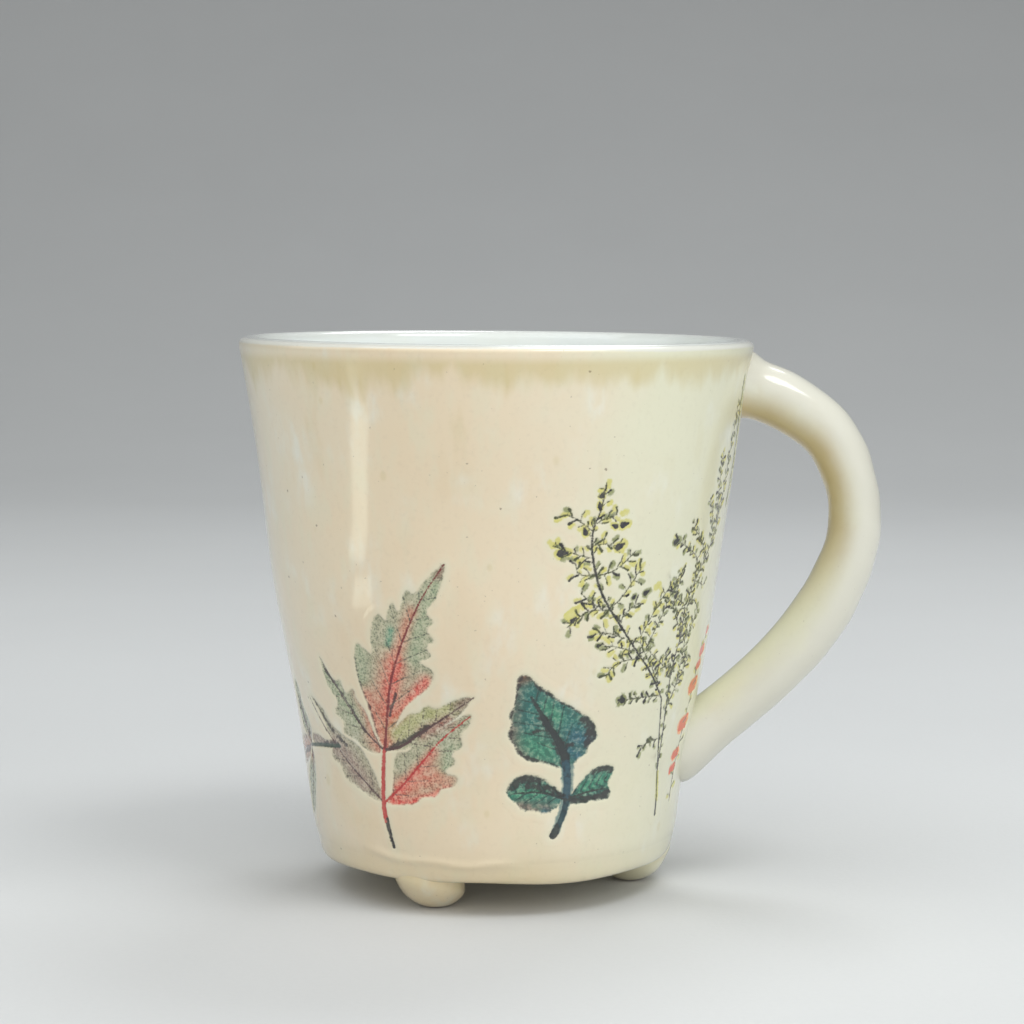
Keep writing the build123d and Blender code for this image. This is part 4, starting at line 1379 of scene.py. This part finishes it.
class MUG_OT_feet(bpy.types.Operator):
    """Three balls of clay squashed on the underside"""

    bl_idname = "mug.feet"
    bl_label = "Feet"

    def execute(self, context):
        material = new_material("foot glaze", foot_glaze)
        for number, (foot, (lean, smear)) in enumerate(FEET.items()):
            low, high = box_mm(foot)
            angle = math.atan2(low[1] + high[1], low[0] + high[0])
            away = np.array([math.cos(angle), math.sin(angle)])
            aside = np.array([-away[1], away[0]])
            middle = FOOT_RING * away
            centre = (middle[0] * MM, middle[1] * MM, FOOT_CENTRE_Z * MM)
            alone()
            bpy.ops.mesh.primitive_uv_sphere_add(
                segments=28, ring_count=18, radius=FOOT_RADIUS * MM, location=centre, enter_editmode=True
            )
            bpy.ops.mesh.select_all(action="SELECT")
            bpy.ops.transform.resize(value=(1.02, 1.02, 0.985), center_override=centre)
            bpy.ops.mesh.bisect(plane_co=(0, 0, 0.05 * MM), plane_no=UP_Z, use_fill=True, clear_inner=True)
            bpy.ops.mesh.select_all(action="SELECT")
            bpy.ops.mesh.normals_make_consistent(inside=False)
            bpy.ops.object.mode_set(mode="OBJECT")
            piece = bpy.context.object
            bpy.ops.object.transform_apply(location=True, rotation=True, scale=True)
            apply_modifier(piece, "SUBSURF", levels=2, render_levels=2)
            points = coordinates(piece)
            flat = points[:, :2] - middle
            up = smoothstep(points[:, 2], 2.0, 8.0)
            wave = points[:, 2] * 0.9 + 2 * np.arctan2(flat[:, 1], flat[:, 0]) + number
            points[:, :2] = middle + flat * (1 + 0.03 * np.sin(wave))[:, None]
            points[:, :2] += (up * smoothstep(flat @ away, 0, 6) * smear)[:, None] * away
            down = (1 - smoothstep(points[:, 2], 0, 7))[:, None]
            points[:, :2] += down * (0.3 * aside - lean * away)
            points[:, 2] = np.maximum(points[:, 2], 0)
            place_vertices(piece, points)
            smooth_shade(piece)
            finish_piece(piece, foot.replace("foot", "ball_foot"), [foot], material)
        return {"FINISHED"}


class MUG_OT_plants(bpy.types.Operator):
    """Pressed and painted plants, each a thin skin of glaze set into the wall"""

    bl_idname = "mug.plants"
    bl_label = "Pressed plants"

    def execute(self, context):
        for name in PLANTS:
            self.make_plant(name)
        return {"FINISHED"}

    def make_plant(self, name):
        look = shape()
        _, spacing, *finish, slot_name = PLANTS[name]
        plant = drawing(name)
        low, high = plant.corners(look.plant_margin)
        size = high - low
        counts = [int(math.ceil(value / spacing)) for value in size]
        alone()
        bpy.ops.mesh.primitive_grid_add(x_subdivisions=counts[0], y_subdivisions=counts[1], size=1)
        piece = bpy.context.object

        def spots():
            return low + (coordinates(piece)[:, :2] * MM + 0.5) * size

        flat = spots()
        reach = plant.reach(flat)
        away = reach < -look.plant_margin
        for other, close, seen in others_near(name, on_wall(plant.facing, flat)):
            away[close] |= reach[close] < other.reach(seen) - 0.3
        for group in (piece.data.polygons, piece.data.edges):
            group.foreach_set("select", np.zeros(len(group), bool))
        piece.data.vertices.foreach_set("select", away)
        bpy.context.tool_settings.mesh_select_mode = (True, False, False)
        bpy.ops.object.mode_set(mode="EDIT")
        bpy.ops.mesh.delete(type="VERT")
        bpy.ops.mesh.select_all(action="SELECT")
        bpy.ops.mesh.delete_loose()
        bpy.ops.object.mode_set(mode="OBJECT")

        flat = spots()
        places = on_wall(plant.facing, flat)
        drawn = plant.drawn(flat)
        for other, close, seen in others_near(name, places):
            part = other.drawn(seen)
            for depth, paint in (("edge", "pigment"), ("line", "ink"), ("glow", "glow_ink")):
                nearer = part[depth] > drawn[depth][close]
                drawn[depth][close[nearer]] = part[depth][nearer]
                drawn[paint][close[nearer]] = part[paint][nearer]
            drawn["shadow"][close] = np.maximum(drawn["shadow"][close], part["shadow"])
        for key, values in drawn.items():
            store(piece, key, values)
        reach = np.maximum(drawn["edge"], np.maximum(drawn["line"], drawn["glow"]))
        pressed = smoothstep(drawn["edge"], -0.4, 0.7) + 0.6 * smoothstep(drawn["line"], -0.35, 0.15)
        rim = 1 - smoothstep(reach, -look.plant_margin, 0.9 - look.plant_margin)
        raised = 0.012 - look.press_depth * pressed - 0.035 * rim
        place_vertices(piece, outwards(hand_built(places), raised))
        apply_modifier(piece, "SOLIDIFY", thickness=0.1 * MM, offset=-1.0)
        smooth_shade(piece, 45)
        material = new_material(name.replace("_", " "), plant_glaze(*finish))
        finish_piece(piece, name.replace("_inlay", ""), [name], material)


def add_light(name, place, turn, size, power, tone):
    bpy.ops.object.light_add(type="AREA", location=place, rotation=turn)
    light = bpy.context.object
    light.name = name
    light.data.shape = "RECTANGLE"
    light.data.size, light.data.size_y = size
    light.data.energy = power
    light.data.color = tone
    light.visible_camera = False
    return light


def area_light(name, place, aim, size, power, tone):
    """Soft rectangular light; place, aim and size in metres."""
    x, y, z = np.array(aim, float) - np.array(place, float)
    turn = (math.atan2(math.hypot(x, y), -z), 0, math.atan2(y, x) - math.pi / 2)
    return add_light(name, place, turn, size, power, tone)


def strip_light(name, middle, heading, size, width, radiance):
    """Bright strip that lies on the floor and faces up; lengths in metres, heading in degrees."""
    turn = (math.pi, 0, math.radians(heading))
    power = radiance * math.pi * size * width
    add_light(name, (*middle, 2 * MM), turn, (size, width), power, (0.94, 1.0, 0.8))


def pale_floor(tree):
    colour_of_floor = bpy.context.scene.mug_stage.floor_colour
    lighter = tuple(min(1, value * 1.12) for value in colour_of_floor)
    place = node(tree, "ShaderNodeTexCoord", out="Object")
    cloud = node(tree, "ShaderNodeTexNoise", {}, {"Vector": place, "Scale": 9.0, "Detail": 4.0})
    grain = node(tree, "ShaderNodeTexNoise", {}, {"Vector": place, "Scale": 900.0, "Detail": 2.0})
    made = mix(tree, cloud * 0.5 + grain * 0.3, colour_of_floor, lighter)
    return {"Base Color": made, "Roughness": 0.75, "Normal": relief(tree, grain * 0.05)}


class MUG_OT_stage(bpy.types.Operator):
    """Pale floor that curves up into a backdrop, soft lights and the camera"""

    bl_idname = "mug.stage"
    bl_label = "Stage"

    def execute(self, context):
        look = context.scene.mug_stage
        alone()
        bpy.ops.mesh.primitive_plane_add(size=24, location=(0, -10, 0), enter_editmode=True)
        bpy.ops.mesh.select_all(action="DESELECT")
        bpy.ops.object.mode_set(mode="OBJECT")
        floor = context.object
        bpy.ops.object.transform_apply(location=True, rotation=True, scale=True)
        vertices = floor.data.vertices
        for vertex in vertices:
            vertex.select = vertex.co.y > 0
        for edge in floor.data.edges:
            edge.select = all(vertices[number].select for number in edge.vertices)
        bpy.ops.object.mode_set(mode="EDIT")
        bpy.ops.mesh.select_mode(type="EDGE")
        bpy.ops.mesh.extrude_region_move(TRANSFORM_OT_translate={"value": (0, 0, 3)})
        bpy.ops.object.mode_set(mode="OBJECT")
        apply_modifier(floor, "BEVEL", width=1.2, segments=24, limit_method="ANGLE")
        floor.name = "floor"
        smooth_shade(floor, 60)
        floor.data.materials.append(new_material("pale floor", pale_floor))

        cool, warm = (0.98, 0.99, 1.0), (1.0, 0.965, 0.915)
        area_light("sky", (-0.15, -0.3, 0.95), (0, 0, 0.05), (1.2, 0.9), 4.3, (0.95, 0.98, 1.0))
        area_light("high_sky", (0.22, 0.55, 1.0), (0.04, 0, 0.08), (0.45, 0.4), 3.6, (0.95, 0.98, 1.0))
        area_light("window", (0.40, -0.34, 0.88), (0.05, 0, 0.09), (0.42, 0.3), 2.6, (0.97, 0.99, 1.0))
        front = area_light("front", (-0.05, -1.3, 0.5), (0, 0, 0.05), (1.1, 0.8), 4.9, warm)
        side = area_light("handle_side", (0.85, -0.5, 0.35), (0.03, 0, 0.05), (0.8, 0.8), 3.5, cool)
        front.visible_glossy = side.visible_glossy = False
        area_light("far_side", (-0.8, -0.1, 0.4), (0, 0, 0.06), (0.6, 0.6), 0.7, cool)
        strip_light("far_gleam", (-0.266, -0.143), 233, 0.064, 0.05, 2.9)
        strip_light("near_gleam", (-0.180, -0.103), 215, 0.052, 0.04, 2.6)

        world = bpy.data.worlds.new("studio")
        context.scene.world = world
        world.use_nodes = True
        back = world.node_tree.nodes["Background"]
        back.inputs["Color"].default_value = (0.80, 0.82, 0.84, 1)
        back.inputs["Strength"].default_value = 0.38

        reach, height = look.camera_distance * MM, look.camera_height * MM
        azimuth = look.camera_azimuth
        bpy.ops.object.camera_add(
            location=(reach * math.sin(azimuth), -reach * math.cos(azimuth), height),
            rotation=(math.pi / 2 - look.camera_pitch, 0, azimuth - look.camera_turn),
        )
        camera = context.object
        camera.name = "camera"
        camera.data.lens = look.camera_lens
        camera.data.sensor_width = 36
        camera.data.clip_start = 0.01
        context.scene.camera = camera
        context.scene.view_settings.view_transform = "Standard"
        return {"FINISHED"}


class MUG_PT_panel(bpy.types.Panel):
    """Sizes, colours and the steps that build the mug"""

    bl_idname = "MUG_PT_panel"
    bl_label = "Stoneware Mug"
    bl_space_type = "VIEW_3D"
    bl_region_type = "UI"
    bl_category = "Mug"

    def draw(self, context):
        for group in (context.scene.mug_shape, context.scene.mug_glaze, context.scene.mug_stage):
            column = self.layout.column(align=True)
            for name in group.bl_rna.properties.keys():
                if name not in {"name", "rna_type"}:
                    column.prop(group, name)
        for step in STEPS:
            self.layout.operator(step.bl_idname)


STEPS = (
    MUG_OT_wall,
    MUG_OT_base,
    MUG_OT_liner,
    MUG_OT_corner,
    MUG_OT_handle,
    MUG_OT_feet,
    MUG_OT_plants,
    MUG_OT_stage,
)
CLASSES = (MugShape, MugGlaze, MugStage, *STEPS, MUG_PT_panel)


def register():
    for made in CLASSES:
        bpy.utils.register_class(made)
    bpy.types.Scene.mug_shape = bpy.props.PointerProperty(type=MugShape)
    bpy.types.Scene.mug_glaze = bpy.props.PointerProperty(type=MugGlaze)
    bpy.types.Scene.mug_stage = bpy.props.PointerProperty(type=MugStage)


def unregister():
    del bpy.types.Scene.mug_stage
    del bpy.types.Scene.mug_glaze
    del bpy.types.Scene.mug_shape
    for made in reversed(CLASSES):
        bpy.utils.unregister_class(made)


def main():
    register()
    for step in STEPS:
        group, name = step.bl_idname.split(".")
        getattr(getattr(bpy.ops, group), name)()


if __name__ == "__main__":
    main()
